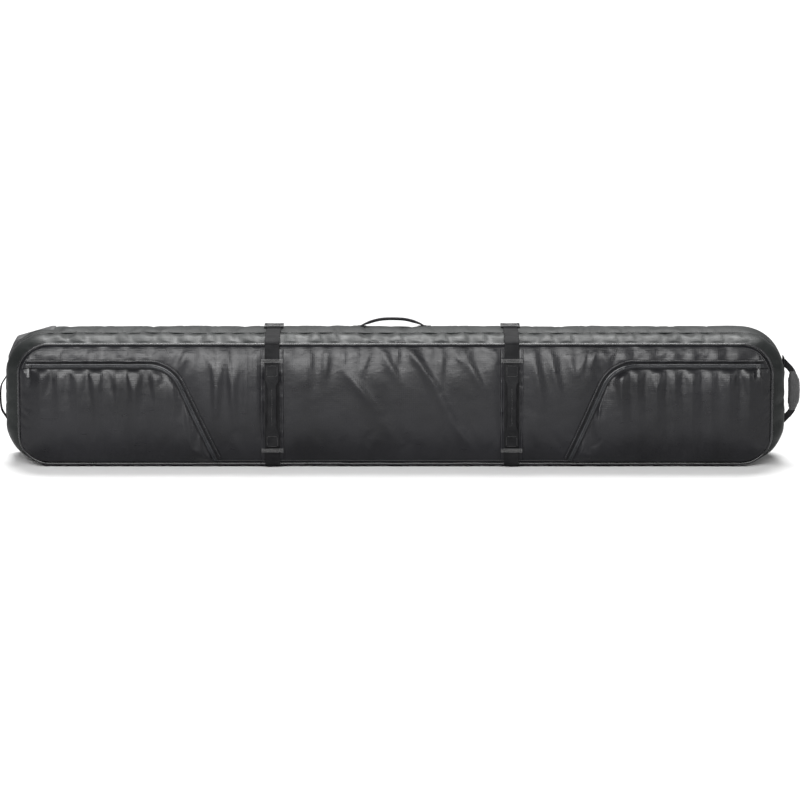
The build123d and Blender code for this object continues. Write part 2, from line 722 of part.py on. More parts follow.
for side, slider_x in POCKET_SLIDER_X.items():
    with BuildPart() as pocket_slider:
        box_between(
            (
                slider_x - SLIDER_LENGTH / 2,
                POCKET_SLIDER_FRONT_Y,
                POCKET_ZIP_Z - SLIDER_WIDTH / 2,
            ),
            (
                slider_x + SLIDER_LENGTH / 2,
                POCKET_SLIDER_REAR_Y,
                POCKET_ZIP_Z + SLIDER_WIDTH / 2,
            ),
        )
        fillet(pocket_slider.edges().filter_by(Axis.Y), radius=SLIDER_CORNER)
        fillet(pocket_slider.faces().sort_by(Axis.Y)[0].edges(), radius=SLIDER_EDGE)
    save(pocket_slider, f"{side}_pocket_slider")

    with BuildPart() as pocket_pull:
        with BuildSketch(upright(POCKET_PULL_Y)):
            with Locations((slider_x, POCKET_ZIP_Z + PULL_EYE - PULL_LENGTH / 2)):
                RectangleRounded(PULL_WIDTH, PULL_LENGTH, PULL_CORNER)
        extrude(amount=PULL_THICKNESS)
    save(pocket_pull, f"{side}_pocket_pull")

# ---- carry handle on top --------------------------------------------------------------------

HANDLE_SPAN = 68  # from the middle to each pivot
HANDLE_RISE = 12.5
HANDLE_SHOULDER = HANDLE_SPAN * 0.55
HANDLE_THICKNESS = 5
KNUCKLE_RADIUS = 4
KNUCKLE_HALF = 5  # half its length along the pivot
ANCHOR_SHIFT = 3  # each foot's middle lies this far out from its pivot
ANCHOR_HALF_LENGTH = 14
ANCHOR_HALF_DEPTH = 16
ANCHOR_TOP_Z = TOP_HANDLE_PIVOT_Z - KNUCKLE_RADIUS - 0.7

with BuildPart() as top_handle:
    with BuildSketch(upright(TOP_HANDLE_Y + KNUCKLE_RADIUS)):
        with BuildLine():
            FilletPolyline(
                (TOP_HANDLE_X - HANDLE_SPAN, TOP_HANDLE_PIVOT_Z),
                (TOP_HANDLE_X - HANDLE_SHOULDER, TOP_HANDLE_PIVOT_Z + HANDLE_RISE),
                (TOP_HANDLE_X + HANDLE_SHOULDER, TOP_HANDLE_PIVOT_Z + HANDLE_RISE),
                (TOP_HANDLE_X + HANDLE_SPAN, TOP_HANDLE_PIVOT_Z),
                radius=30,
            )
        trace(line_width=HANDLE_THICKNESS)
    extrude(amount=2 * KNUCKLE_RADIUS)
    for end in (-1, 1):
        with BuildSketch(Plane.YZ.offset(TOP_HANDLE_X + end * HANDLE_SPAN)):
            with Locations((TOP_HANDLE_Y, TOP_HANDLE_PIVOT_Z)):
                Circle(KNUCKLE_RADIUS)
        extrude(amount=KNUCKLE_HALF, both=True)
    box_between(
        (-FAR, -FAR, TOP_HANDLE_PIVOT_Z - KNUCKLE_RADIUS), (FAR, FAR, FAR), mode=Mode.INTERSECT
    )
save(top_handle, "top_handle")

with BuildPart() as top_handle_anchors:
    for end in (-1, 1):
        anchor_x = TOP_HANDLE_X + end * (HANDLE_SPAN + ANCHOR_SHIFT)
        box_between(
            (anchor_x - ANCHOR_HALF_LENGTH, TOP_HANDLE_Y - ANCHOR_HALF_DEPTH, HEIGHT + EASE),
            (anchor_x + ANCHOR_HALF_LENGTH, TOP_HANDLE_Y + ANCHOR_HALF_DEPTH, ANCHOR_TOP_Z),
        )
save(top_handle_anchors, "top_handle_anchors")

# ---- end handles ------------------------------------------------------------------------------

HAUL_LOW_Z = 86
HAUL_HIGH_Z = 188
HAUL_REACH = 11
HAUL_THICKNESS = 3
HAUL_SHOULDER = 28
HAUL_WEB_X = HAUL_PIVOT_X - 6  # the wide webbing starts here, clear of the patches
HAUL_ARM = (7, 17.8)  # from each pivot, out and towards the middle
TOW_LOW_Z = 89
TOW_HIGH_Z = 212
TOW_SHOULDER = 8
TOW_THICKNESS = 7
TOW_SLOT = (3.6, KNUCKLE_RADIUS + 0.1)  # half its size along X and Y
LOOP_HALF_DEPTH = 7
ARM_HALF_DEPTH = 3
GRIP_HALF_DEPTH = 9
GRIP_NEAR_X = 852
GRIP_FAR_X = 879
GRIP_LOW_Z = 108
GRIP_HIGH_Z = 194


def end_knuckles(pivot_x, levels, radius):
    """Rolled webbing at both ends of a loop, around its upright pivot."""
    for level_z in levels:
        with BuildSketch(Plane.XY.offset(level_z)) as knuckle:
            with Locations((pivot_x, 0)):
                Circle(radius)
        extrude(knuckle.sketch, amount=KNUCKLE_HALF, both=True)


with BuildPart() as haul_loop:
    with BuildSketch(upright(LOOP_HALF_DEPTH)):
        with BuildLine():
            FilletPolyline(
                (HAUL_PIVOT_X, HAUL_LOW_Z),
                (HAUL_PIVOT_X - HAUL_REACH, HAUL_LOW_Z + HAUL_SHOULDER),
                (HAUL_PIVOT_X - HAUL_REACH, HAUL_HIGH_Z - HAUL_SHOULDER),
                (HAUL_PIVOT_X, HAUL_HIGH_Z),
                radius=25,
            )
        trace(line_width=HAUL_THICKNESS)
    extrude(amount=2 * LOOP_HALF_DEPTH)
    box_between((-FAR, -FAR, -FAR), (HAUL_WEB_X, FAR, FAR), mode=Mode.INTERSECT)
    with BuildSketch(upright(ARM_HALF_DEPTH)):
        for level_z, towards_middle in ((HAUL_LOW_Z, 1), (HAUL_HIGH_Z, -1)):
            arm_end = (HAUL_PIVOT_X - HAUL_ARM[0], level_z + towards_middle * HAUL_ARM[1])
            with BuildLine():
                Line((HAUL_PIVOT_X, level_z), arm_end)
            trace(line_width=HAUL_THICKNESS)
    extrude(amount=2 * ARM_HALF_DEPTH)
    end_knuckles(HAUL_PIVOT_X, (HAUL_LOW_Z, HAUL_HIGH_Z), ARM_HALF_DEPTH)
save(haul_loop, "haul_loop")

TOW_WEB_X = (GRIP_NEAR_X + GRIP_FAR_X) / 2
with BuildPart() as tow_strap:
    with BuildSketch(upright(KNUCKLE_RADIUS)):
        with BuildLine():
            FilletPolyline(
                (TOW_PIVOT_X, TOW_LOW_Z),
                (TOW_WEB_X, TOW_LOW_Z + TOW_SHOULDER),
                (TOW_WEB_X, TOW_HIGH_Z - TOW_SHOULDER),
                (TOW_PIVOT_X, TOW_HIGH_Z),
                radius=12,
            )
        trace(line_width=TOW_THICKNESS)
    extrude(amount=2 * KNUCKLE_RADIUS)
    end_knuckles(TOW_PIVOT_X, (TOW_LOW_Z, TOW_HIGH_Z), KNUCKLE_RADIUS)
save(tow_strap, "tow_strap")

with BuildPart() as tow_grip:
    box_between(
        (GRIP_NEAR_X, -GRIP_HALF_DEPTH, GRIP_LOW_Z), (GRIP_FAR_X, GRIP_HALF_DEPTH, GRIP_HIGH_Z)
    )
    fillet(tow_grip.edges().filter_by(Axis.Z), radius=6)
    box_between(
        (TOW_WEB_X - TOW_SLOT[0], -TOW_SLOT[1], -FAR),
        (TOW_WEB_X + TOW_SLOT[0], TOW_SLOT[1], FAR),
        mode=Mode.SUBTRACT,
    )
save(tow_grip, "tow_grip")

PATCH_HALF_DEPTH = 18
PATCH_HALF_HEIGHT = 14
PATCH_NEAR = 0.2  # off the wall
PATCH_FAR = 2.2
with BuildPart() as end_handle_patches:
    for wall_x, outward, levels in (
        (-HALF_LENGTH, -1, (HAUL_LOW_Z, HAUL_HIGH_Z)),
        (HALF_LENGTH, 1, (TOW_LOW_Z, TOW_HIGH_Z)),
    ):
        for level_z in levels:
            near_x = wall_x + outward * PATCH_NEAR
            far_x = wall_x + outward * PATCH_FAR
            box_between(
                (min(near_x, far_x), -PATCH_HALF_DEPTH, level_z - PATCH_HALF_HEIGHT),
                (max(near_x, far_x), PATCH_HALF_DEPTH, level_z + PATCH_HALF_HEIGHT),
            )
    # the patches are sewn over the gusset seam
    over_seam_x = HALF_LENGTH + SEAM_RISE + EASE
    box_between(
        (-over_seam_x, SEAM_Y - EASE, -FAR),
        (over_seam_x, SEAM_REAR_Y + EASE, FAR),
        mode=Mode.SUBTRACT,
    )
save(end_handle_patches, "end_handle_patches")
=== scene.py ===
import json
import math

import bmesh
import bpy
import numpy as np
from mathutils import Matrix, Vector


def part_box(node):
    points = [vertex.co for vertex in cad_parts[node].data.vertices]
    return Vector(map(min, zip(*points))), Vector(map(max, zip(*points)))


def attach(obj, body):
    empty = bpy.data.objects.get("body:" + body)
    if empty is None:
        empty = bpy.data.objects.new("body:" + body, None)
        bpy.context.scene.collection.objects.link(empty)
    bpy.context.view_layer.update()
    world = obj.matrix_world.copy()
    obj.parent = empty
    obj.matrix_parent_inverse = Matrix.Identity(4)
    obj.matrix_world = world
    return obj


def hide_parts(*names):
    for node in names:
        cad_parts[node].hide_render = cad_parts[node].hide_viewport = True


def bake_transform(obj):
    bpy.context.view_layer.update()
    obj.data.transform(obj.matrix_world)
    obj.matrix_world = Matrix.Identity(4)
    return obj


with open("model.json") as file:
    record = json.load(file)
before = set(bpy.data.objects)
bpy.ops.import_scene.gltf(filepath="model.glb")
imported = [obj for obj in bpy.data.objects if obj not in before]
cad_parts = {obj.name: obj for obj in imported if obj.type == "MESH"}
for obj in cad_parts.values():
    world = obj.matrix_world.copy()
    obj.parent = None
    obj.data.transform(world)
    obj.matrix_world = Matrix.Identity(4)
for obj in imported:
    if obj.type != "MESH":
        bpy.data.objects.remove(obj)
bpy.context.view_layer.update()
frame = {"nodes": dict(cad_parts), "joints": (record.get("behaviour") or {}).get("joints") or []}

scene = bpy.context.scene

# ---- sizes, in metres, from the frame --------------------------------------------------------


def node_points(name):
    """All vertices of a CAD node."""
    points = np.empty(3 * len(bpy.data.objects[name].data.vertices))
    bpy.data.objects[name].data.vertices.foreach_get("co", points)
    return points.reshape(-1, 3)


def top_run(name):
    """How far a hoop's straight top run reaches to either side."""
    points = node_points(name)
    return float(np.abs(points[points[:, 2] > points[:, 2].max() - 1e-5, 0]).max())


piping_low, piping_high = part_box("front_piping")
PIPING = (piping_high[1] - piping_low[1]) / 2  # radius
COVER_HALF = piping_high[0] - PIPING
COVER_LOW = piping_low[2] + PIPING
COVER_HIGH = piping_high[2] - PIPING
COVER_RADIUS = COVER_HALF - top_run("front_piping")
COVER_EDGE_Y = (piping_low[1] + piping_high[1]) / 2

WALL_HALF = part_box("tow_end_wall")[1][0]
WALL_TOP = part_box("top_gusset")[1][2]
WALL_RADIUS = WALL_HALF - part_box("tow_end_wall")[0][0]
MOUTH_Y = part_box("top_gusset")[0][1]
REAR_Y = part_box("top_gusset")[1][1]
MOUTH_INSET = COVER_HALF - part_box("main_zip_wall_tape")[1][0]
MOUTH = (COVER_HALF - MOUTH_INSET, COVER_LOW + MOUTH_INSET, COVER_HIGH - MOUTH_INSET,
         COVER_RADIUS - MOUTH_INSET)
rear_low, rear_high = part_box("rear_piping")
REAR_OUTLINE = (rear_high[0] - PIPING, rear_low[2] + PIPING, rear_high[2] - PIPING,
                rear_high[0] - PIPING - top_run("rear_piping"))
REAR_IN = 0.001  # the wall's rear edge lies this far inside the rear piping's middle
REAR = (REAR_OUTLINE[0] - REAR_IN, REAR_OUTLINE[1] + REAR_IN, REAR_OUTLINE[2] - REAR_IN,
        REAR_OUTLINE[3] - REAR_IN)
SEAM_Y = (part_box("gusset_seam")[0][1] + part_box("gusset_seam")[1][1]) / 2

SIDES = ("left", "right")
STRAP_X = {side: (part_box(f"{side}_top_strap")[0][0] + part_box(f"{side}_top_strap")[1][0]) / 2
           for side in SIDES}
STRAP_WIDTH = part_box("left_top_strap")[1][0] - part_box("left_top_strap")[0][0]
PLACKET_HALF = (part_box("left_placket")[1][0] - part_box("left_placket")[0][0]) / 2
WEB = 0.0016  # thickness of the webbing
ZIP_Z = (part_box("left_pocket_slider")[0][2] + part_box("left_pocket_slider")[1][2]) / 2
ZIP_HALF = 0.008  # half the width that a pocket zip takes up on the cover


def joint(name):
    return next(j for j in frame["joints"] if j["name"] == name)

# ---- materials -------------------------------------------------------------------------------


class Paint:
    """A Principled material with procedural colour, roughness and bump."""

    def __init__(self, name, color, roughness, **sockets):
        self.material = bpy.data.materials.new(name)
        self.material.use_nodes = True
        self.tree = self.material.node_tree
        self.shader = self.tree.nodes["Principled BSDF"]
        self.shader.inputs["Base Color"].default_value = (*color, 1)
        self.shader.inputs["Roughness"].default_value = roughness
        for socket, value in sockets.items():
            self.shader.inputs[socket.replace("_", " ")].default_value = value
        self.place = self.tree.nodes.new("ShaderNodeTexCoord").outputs["Object"]
        self.heights = []
        self.material.diffuse_color = (*color, 1)

    def node(self, kind, **inputs):
        made = self.tree.nodes.new(kind)
        for key, value in inputs.items():
            socket = made.inputs[key]
            if isinstance(value, bpy.types.NodeSocket):
                self.tree.links.new(value, socket)
            else:
                socket.default_value = value
        return made

    def stretched(self, stretch):
        """The object's own coordinates, scaled by (x, y, z)."""
        mapping = self.node("ShaderNodeMapping", Vector=self.place)
        mapping.inputs["Scale"].default_value = stretch
        return mapping.outputs["Vector"]

    def noise(self, scale, detail=4.0, stretch=(1, 1, 1)):
        made = self.node("ShaderNodeTexNoise", Vector=self.stretched(stretch), Scale=scale)
        made.inputs["Detail"].default_value = detail
        return made.outputs["Fac"]

    def lines(self, axis, period, sharpness=1.0, distortion=0.0):
        """Parallel ridges across an axis, one every period metres."""
        made = self.node("ShaderNodeTexWave", Vector=self.place, Scale=math.pi / 10 / period)
        made.bands_direction = axis
        made.inputs["Distortion"].default_value = distortion
        if sharpness == 1.0:
            return made.outputs["Fac"]
        power = self.node("ShaderNodeMath")
        power.operation = "POWER"
        self.tree.links.new(made.outputs["Fac"], power.inputs[0])
        power.inputs[1].default_value = sharpness
        return power.outputs[0]

    def mix_color(self, factor, low, high, span=(0.35, 0.65)):
        ramp = self.node("ShaderNodeValToRGB", Fac=factor)
        ramp.color_ramp.elements[0].position = span[0]
        ramp.color_ramp.elements[1].position = span[1]
        ramp.color_ramp.elements[0].color = (*low, 1)
        ramp.color_ramp.elements[1].color = (*high, 1)
        self.tree.links.new(ramp.outputs["Color"], self.shader.inputs["Base Color"])
        return self

    def mix_roughness(self, factor, low, high):
        ranged = self.node("ShaderNodeMapRange", Value=factor)
        ranged.inputs["From Min"].default_value = 0.3
        ranged.inputs["From Max"].default_value = 0.7
        ranged.inputs["To Min"].default_value = low
        ranged.inputs["To Max"].default_value = high
        self.tree.links.new(ranged.outputs["Result"], self.shader.inputs["Roughness"])
        return self

    def bump(self, height, distance, strength=1.0):
        """Adds one layer of relief, distance metres high."""
        made = self.node("ShaderNodeBump", Height=height, Distance=distance, Strength=strength)
        if self.heights:
            self.tree.links.new(self.heights[-1], made.inputs["Normal"])
        self.heights.append(made.outputs["Normal"])
        self.tree.links.new(made.outputs["Normal"], self.shader.inputs["Normal"])
        return self


def ripstop(paint, period, depth):
    for axis in "XYZ":
        paint.bump(paint.lines(axis, period, sharpness=6.0), depth, 0.5)
    return paint


def woven(paint, along=0.0021, across=0.0016, depth=0.00025):
    """Webbing: ribs along it, crossed by the picks of the weave."""
    paint.bump(paint.lines("X", across), depth, 0.6)
    paint.bump(paint.lines("Y", along), depth, 0.5)
    paint.bump(paint.lines("Z", along), depth, 0.5)
    return paint


def painted(name, color, roughness, tint, low, high, rough=None, grain=None, span=(0.35, 0.65),
            **sockets):
    """A paint with its colour mottled between low and high by the noise tint.

    rough is (noise, least, most) for the roughness, and grain is (noise, depth, strength).
    """
    made = Paint(name, color, roughness, **sockets)
    made.mix_color(made.noise(*tint), low, high, span)
    if rough:
        made.mix_roughness(made.noise(*rough[0]), *rough[1:])
    if grain:
        made.bump(made.noise(*grain[0]), *grain[1:])
    return made


def make_materials():
    made = {
        "shell": ripstop(painted(
            "coated_gusset", (0.0055, 0.0065, 0.0064), 0.5, (9, 5), (0.0038, 0.0046, 0.0045),
            (0.0075, 0.0088, 0.0085), ((38, 4), 0.44, 0.58), ((120, 5), 0.0006, 0.5),
            Specular_IOR_Level=0.17), 0.0042, 0.00012),
        "front": ripstop(painted(
            "coated_front", (0.005, 0.005, 0.0058), 0.36, (7, 5), (0.0035, 0.0035, 0.0042),
            (0.0070, 0.0070, 0.0082), ((30, 4, (1, 1, 2.5)), 0.27, 0.42),
            ((90, 5, (1, 1, 1.8)), 0.0006, 0.5), Specular_IOR_Level=0.2), 0.0042, 0.00012),
        "webbing": woven(painted(
            "webbing", (0.004, 0.004, 0.0045), 0.72, (45, 4), (0.003, 0.003, 0.0035),
            (0.0065, 0.0065, 0.007), Specular_IOR_Level=0.1)),
        "piping": painted(
            "piping", (0.010, 0.010, 0.011), 0.24, (60, 3), (0.004, 0.004, 0.0046),
            (0.010, 0.010, 0.011), ((140, 3), 0.18, 0.36), ((70, 3), 0.0006, 0.5),
            Specular_IOR_Level=0.28, Coat_Weight=0.05, Coat_Roughness=0.3),
        "zip_film": painted(
            "zip_film", (0.010, 0.0105, 0.0115), 0.3, (50, 3), (0.008, 0.0085, 0.0095),
            (0.013, 0.0135, 0.015), ((80, 3), 0.16, 0.3), ((400, 3), 0.0002, 0.4),
            Specular_IOR_Level=0.22),
        "zip_tape": woven(painted(
            "zip_tape", (0.003, 0.003, 0.0035), 0.8, (70, 3), (0.002, 0.002, 0.0024),
            (0.005, 0.005, 0.0055), Specular_IOR_Level=0.15), 0.0012, 0.0009, 0.00015),
        "zip_coil": painted(
            "zip_coil", (0.006, 0.006, 0.0065), 0.5, (200, 2), (0.004, 0.004, 0.0045),
            (0.009, 0.009, 0.0095), grain=((900, 2), 0.0001, 0.4), Specular_IOR_Level=0.3),
        "zip_metal": painted(
            "zip_metal", (0.05, 0.05, 0.052), 0.3, (500, 3), (0.03, 0.03, 0.031),
            (0.12, 0.12, 0.125), grain=((900, 3), 0.0001, 0.4), span=(0.5, 0.8), Metallic=0.9),
        "pull": painted("moulded_pull", (0.012, 0.012, 0.013), 0.45, (300, 3),
                        (0.009, 0.009, 0.010), (0.018, 0.018, 0.019)),
        "buckle": painted(
            "buckle_plastic", (0.004, 0.004, 0.0045), 0.24, (80, 3), (0.003, 0.003, 0.0034),
            (0.006, 0.006, 0.0064), ((120, 4), 0.16, 0.32), ((700, 3), 0.00008, 0.4),
            Specular_IOR_Level=0.25),
        "housing": painted(
            "housing_plastic", (0.011, 0.011, 0.012), 0.48, (25, 5), (0.009, 0.009, 0.010),
            (0.017, 0.017, 0.018), ((60, 5), 0.38, 0.6), ((1400, 2), 0.0002, 0.6)),
        "steel": painted("plated_steel", (0.5, 0.5, 0.52), 0.28, (180, 4), (0.38, 0.38, 0.4),
                         (0.6, 0.6, 0.62), Metallic=1.0),
        "tyre": painted(
            "urethane", (0.018, 0.018, 0.018), 0.5, (70, 5), (0.012, 0.012, 0.012),
            (0.035, 0.034, 0.033), ((110, 4), 0.42, 0.7), ((500, 4), 0.0003, 0.5)),
        "hub": painted(
            "hub_nylon", (0.035, 0.035, 0.038), 0.42, (90, 4), (0.028, 0.028, 0.030),
            (0.045, 0.045, 0.048), grain=((900, 2), 0.0001, 0.5)),
        "grip": painted(
            "grip_neoprene", (0.008, 0.008, 0.0085), 0.7, (120, 4), (0.006, 0.006, 0.0065),
            (0.013, 0.013, 0.014), grain=((1100, 2), 0.0003, 0.6), Sheen_Weight=0.35),
        "lining": ripstop(painted(
            "lining", (0.05, 0.052, 0.055), 0.6, (14, 4), (0.04, 0.042, 0.045),
            (0.065, 0.068, 0.072), Sheen_Weight=0.15), 0.005, 0.0001),
        "sheet": painted(
            "sheet_plastic", (0.03, 0.03, 0.032), 0.5, (40, 3), (0.025, 0.025, 0.027),
            (0.04, 0.04, 0.043), grain=((500, 3), 0.0001, 0.5)),
    }
    for name, shade in (("thread", 0.030), ("dark_thread", 0.006), ("bar_thread", 0.075)):
        made[name] = painted(name, (shade, shade, shade * 1.06), 0.55, (300, 2),
                             (shade * 0.7,) * 3, (shade * 1.4,) * 3, Sheen_Weight=0.1)
    for name, axis, period, depth, strength in (
            ("thread", "X", 0.0008, 0.0001, 0.6), ("dark_thread", "X", 0.0008, 0.0001, 0.6),
            ("bar_thread", "X", 0.0008, 0.0001, 0.6), ("pull", "X", 0.0018, 0.0002, 0.5),
            ("steel", "Z", 0.0006, 0.00004, 0.5)):
        made[name].bump(made[name].lines(axis, period), depth, strength)
    return {name: paint.material for name, paint in made.items()}


MATERIALS = make_materials()

# ---- mesh helpers ----------------------------------------------------------------------------


def piece(name, vertices, faces, material, body, slot=None, smooth=True):
    """A mesh object with outward normals that rides on a CAD body."""
    mesh = bpy.data.meshes.new(name)
    mesh.from_pydata([tuple(v) for v in np.asarray(vertices, float)], [], [tuple(f) for f in faces])
    work = bmesh.new()
    work.from_mesh(mesh)
    bmesh.ops.recalc_face_normals(work, faces=work.faces)
    work.to_mesh(mesh)
    work.free()
    mesh.validate()
    made = bpy.data.objects.new(name, mesh)
    scene.collection.objects.link(made)
    mesh.materials.append(MATERIALS[material])
    for polygon in mesh.polygons:
        polygon.use_smooth = smooth
    if body:
        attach(made, body)
    return made


def grid_faces(rows, columns, wrap_rows=False, wrap_columns=False, first=0):
    faces = []
    for i in range(rows if wrap_rows else rows - 1):
        for j in range(columns if wrap_columns else columns - 1):
            a, b = i, (i + 1) % rows
            c, d = j, (j + 1) % columns
            faces.append([first + a * columns + c, first + a * columns + d,
                          first + b * columns + d, first + b * columns + c])
    return faces


def apply_modifiers(made):
    """Replaces the object's mesh with what its modifiers make of it."""
    graph = bpy.context.evaluated_depsgraph_get()
    mesh = bpy.data.meshes.new_from_object(made.evaluated_get(graph))
    made.modifiers.clear()
    old = made.data
    made.data = mesh
    bpy.data.meshes.remove(old)


def thicken(made, thickness, inward=True):
    """Gives a sheet a thickness, on the side its normals point away from."""
    if not faces_out(made):
        made.data.flip_normals()
    solidify = made.modifiers.new("Solidify", "SOLIDIFY")
    solidify.thickness = thickness
    solidify.offset = -1.0 if inward else 1.0
    apply_modifiers(made)
    made.data.set_sharp_from_angle(angle=math.radians(50))


def faces_out(made):
    """True when most of the mesh's normals point away from the middle of the bag."""
    mesh = made.data
    count = len(mesh.polygons)
    normals, centres = np.zeros(count * 3), np.zeros(count * 3)
    mesh.polygons.foreach_get("normal", normals)
    mesh.polygons.foreach_get("center", centres)
    away = centres.reshape(-1, 3) - (0, 0, WALL_TOP / 2)
    away[:, 0] = np.sign(away[:, 0]) * np.clip(np.abs(away[:, 0]) - 0.7, 0, None)
    return float((normals.reshape(-1, 3) * away).sum()) > 0


def subdivide(made, levels=1):
    made.modifiers.new("Subdivision", "SUBSURF").levels = levels
    apply_modifiers(made)


def smooth_path(points, spacing):
    """A Catmull-Rom curve through the points, sampled about every spacing metres."""
    p = np.asarray(points, float)
    padded = np.vstack([2 * p[0] - p[1], p, 2 * p[-1] - p[-2]])
    out = []
    for i in range(1, len(padded) - 2):
        a, b, c, d = padded[i - 1:i + 3]
        steps = max(2, int(np.linalg.norm(c - b) / spacing))
        t = np.linspace(0, 1, steps, endpoint=False)[:, None]
        out.append(0.5 * (2 * b + (c - a) * t + (2 * a - 5 * b + 4 * c - d) * t**2
                          + (3 * b - a - 3 * c + d) * t**3))
    return np.vstack([*out, p[-1:]])


def unit(v):
    return v / np.maximum(np.linalg.norm(v, axis=-1, keepdims=True), 1e-12)


def lengths(path):
    """The distance along a path to each of its points."""
    return np.cumsum(np.linalg.norm(np.diff(path, axis=0, prepend=path[:1]), axis=1))


def eased(t):
    """0 to 1 with level ends."""
    return t * t * (3 - 2 * t)


def band_section(selvedge=1.12):
    """Webbing's cross-section, from -1 to 1 across its width and its thickness."""
    across = np.array([-0.97, -0.86, -0.5, 0.0, 0.5, 0.86, 0.97])
    height = np.array([0.75, selvedge, 1.0, 1.0, 1.0, selvedge, 0.75])
    upper = np.stack([across, height], 1)
    return np.vstack([upper, [[1.0, 0.0]], upper[::-1] * (1, -1), [[-1.0, 0.0]]])


def swept(path, side, widths, thicknesses, section):
    """A closed band along a path: side points across its width."""
    path = np.asarray(path, float)
    side = unit(np.broadcast_to(np.asarray(side, float), path.shape))
    tangent = unit(np.gradient(path, axis=0))
    normal = unit(np.cross(tangent, side))
    side = unit(np.cross(normal, tangent))
    half_width = np.broadcast_to(np.asarray(widths, float) / 2, len(path))[:, None, None]
    half_thick = np.broadcast_to(np.asarray(thicknesses, float) / 2, len(path))[:, None, None]
    ring = (path[:, None] + side[:, None] * section[None, :, :1] * half_width
            + normal[:, None] * section[None, :, 1:] * half_thick)
    n, m = ring.shape[:2]
    faces = grid_faces(n, m, wrap_columns=True)
    faces += [list(range(m))[::-1], [(n - 1) * m + k for k in range(m)]]
    return ring.reshape(-1, 3), faces


def band(name, path, side, width, body, material="webbing", thickness=WEB, slot="webbing"):
    vertices, faces = swept(path, side, width, thickness, band_section())
    return piece(name, vertices, faces, material, body, slot)


def tube(path, radii, sides=10, closed=False, up=(0, 1, 0)):
    """Vertices and faces of a round tube along a path."""
    path = np.asarray(path, float)
    if closed:
        tangent = unit(np.roll(path, -1, 0) - np.roll(path, 1, 0))
    else:
        tangent = unit(np.gradient(path, axis=0))
    side = unit(np.cross(tangent, np.broadcast_to(np.array(up, float), path.shape)))
    normal = np.cross(side, tangent)
    turn = np.linspace(0, 2 * math.pi, sides, endpoint=False)
    radii = np.broadcast_to(np.asarray(radii, float), len(path))[:, None, None]
    ring = path[:, None] + radii * (side[:, None] * np.cos(turn)[None, :, None]
                                    + normal[:, None] * np.sin(turn)[None, :, None])
    faces = grid_faces(len(path), sides, wrap_rows=closed, wrap_columns=True)
    if not closed:
        last = (len(path) - 1) * sides
        faces += [list(range(sides))[::-1], [last + k for k in range(sides)]]
    return ring.reshape(-1, 3), faces


def joined(parts):
    """Several (vertices, faces) as one."""
    vertices, faces, count = [], [], 0
    for v, f in parts:
        vertices.append(np.asarray(v, float))
        faces += [[k + count for k in face] for face in f]
        count += len(v)
    return np.vstack(vertices), faces


def stitches(path, normals, pitch=0.0045, length=0.0031, radius=0.00042, lift=0.0003):
    """Rows of thread stitches lying along a path."""
    path = np.asarray(path, float)
    along = lengths(path)
    normals = np.broadcast_to(np.asarray(normals, float), path.shape)
    parts = []
    for start in np.arange(pitch / 2, along[-1] - length, pitch):
        at = np.array([start, start + length * 0.25, start + length * 0.75, start + length])
        line = np.stack([np.interp(at, along, path[:, k]) for k in range(3)], 1)
        out = np.stack([np.interp(at, along, normals[:, k]) for k in range(3)], 1)
        line = line + unit(out) * (np.array([-0.2, 1, 1, -0.2])[:, None] * lift)
        parts.append(tube(line, [radius * 0.4, radius, radius, radius * 0.4], 6,
                          up=unit(out)[0]))
    return joined(parts)

# ---- cloth -----------------------------------------------------------------------------------


def settle(made, held, grow, pressure, frames=22, cap=0.006, stiffness=12.0, bending=0.4):
    """Simulates the mesh as cloth that is slightly too large for where it is sewn down.

    held gives each vertex's hold from 0 to 1. Movement is limited to cap metres.
    """
    group = made.vertex_groups.new(name="held")
    for index, weight in enumerate(held):
        if weight > 0:
            group.add([index], float(weight), "REPLACE")
    start = coordinates(made)
    cloth = made.modifiers.new("Cloth", "CLOTH")
    settings = cloth.settings
    settings.quality = 6
    settings.mass = 0.3
    settings.tension_stiffness = stiffness
    settings.compression_stiffness = stiffness
    settings.shear_stiffness = stiffness / 3
    settings.bending_stiffness = bending
    settings.air_damping = 2.0
    settings.vertex_group_mass = group.name
    settings.shrink_min = -grow
    settings.shrink_max = -grow
    settings.use_pressure = True
    settings.uniform_pressure_force = pressure
    settings.effector_weights.gravity = 0
    cloth.collision_settings.use_collision = False
    cloth.point_cache.frame_start = 1
    cloth.point_cache.frame_end = frames
    for number in range(1, frames + 1):
        scene.frame_set(number)
    graph = bpy.context.evaluated_depsgraph_get()
    shaped = made.evaluated_get(graph).to_mesh()
    moved = np.array([v.co[:] for v in shaped.vertices]) - start
    made.evaluated_get(graph).to_mesh_clear()
    made.modifiers.clear()
    scene.frame_set(1)
    size = np.linalg.norm(moved, axis=1, keepdims=True)
    moved = moved * (cap * np.tanh(size / cap) / np.maximum(size, 1e-9))
    set_coordinates(made, start + moved)
    made.vertex_groups.clear()


def coordinates(made):
    flat = np.zeros(len(made.data.vertices) * 3)
    made.data.vertices.foreach_get("co", flat)
    return flat.reshape(-1, 3)


def set_coordinates(made, where):
    made.data.vertices.foreach_set("co", np.asarray(where, float).ravel())
    made.data.update()


def folds(x, z, strokes):
    """Relief of soft folds, each stroke (x0, z0, x1, z1, half-width, height)."""
    total = np.zeros_like(x)
    for x0, z0, x1, z1, width, height in strokes:
        dx, dz = x1 - x0, z1 - z0
        t = ((x - x0) * dx + (z - z0) * dz) / (dx * dx + dz * dz)
        inside = np.clip(t, 0, 1)
        away = np.hypot(x - x0 - inside * dx, z - z0 - inside * dz) / width
        taper = np.clip(1.2 - np.abs(t - 0.5) * 1.8, 0, 1)
        ridge = 1.3 * np.exp(-away**1.5) - 0.3 * np.exp(-(away / 2.6) ** 2)
        total += height * ridge * taper
    return total


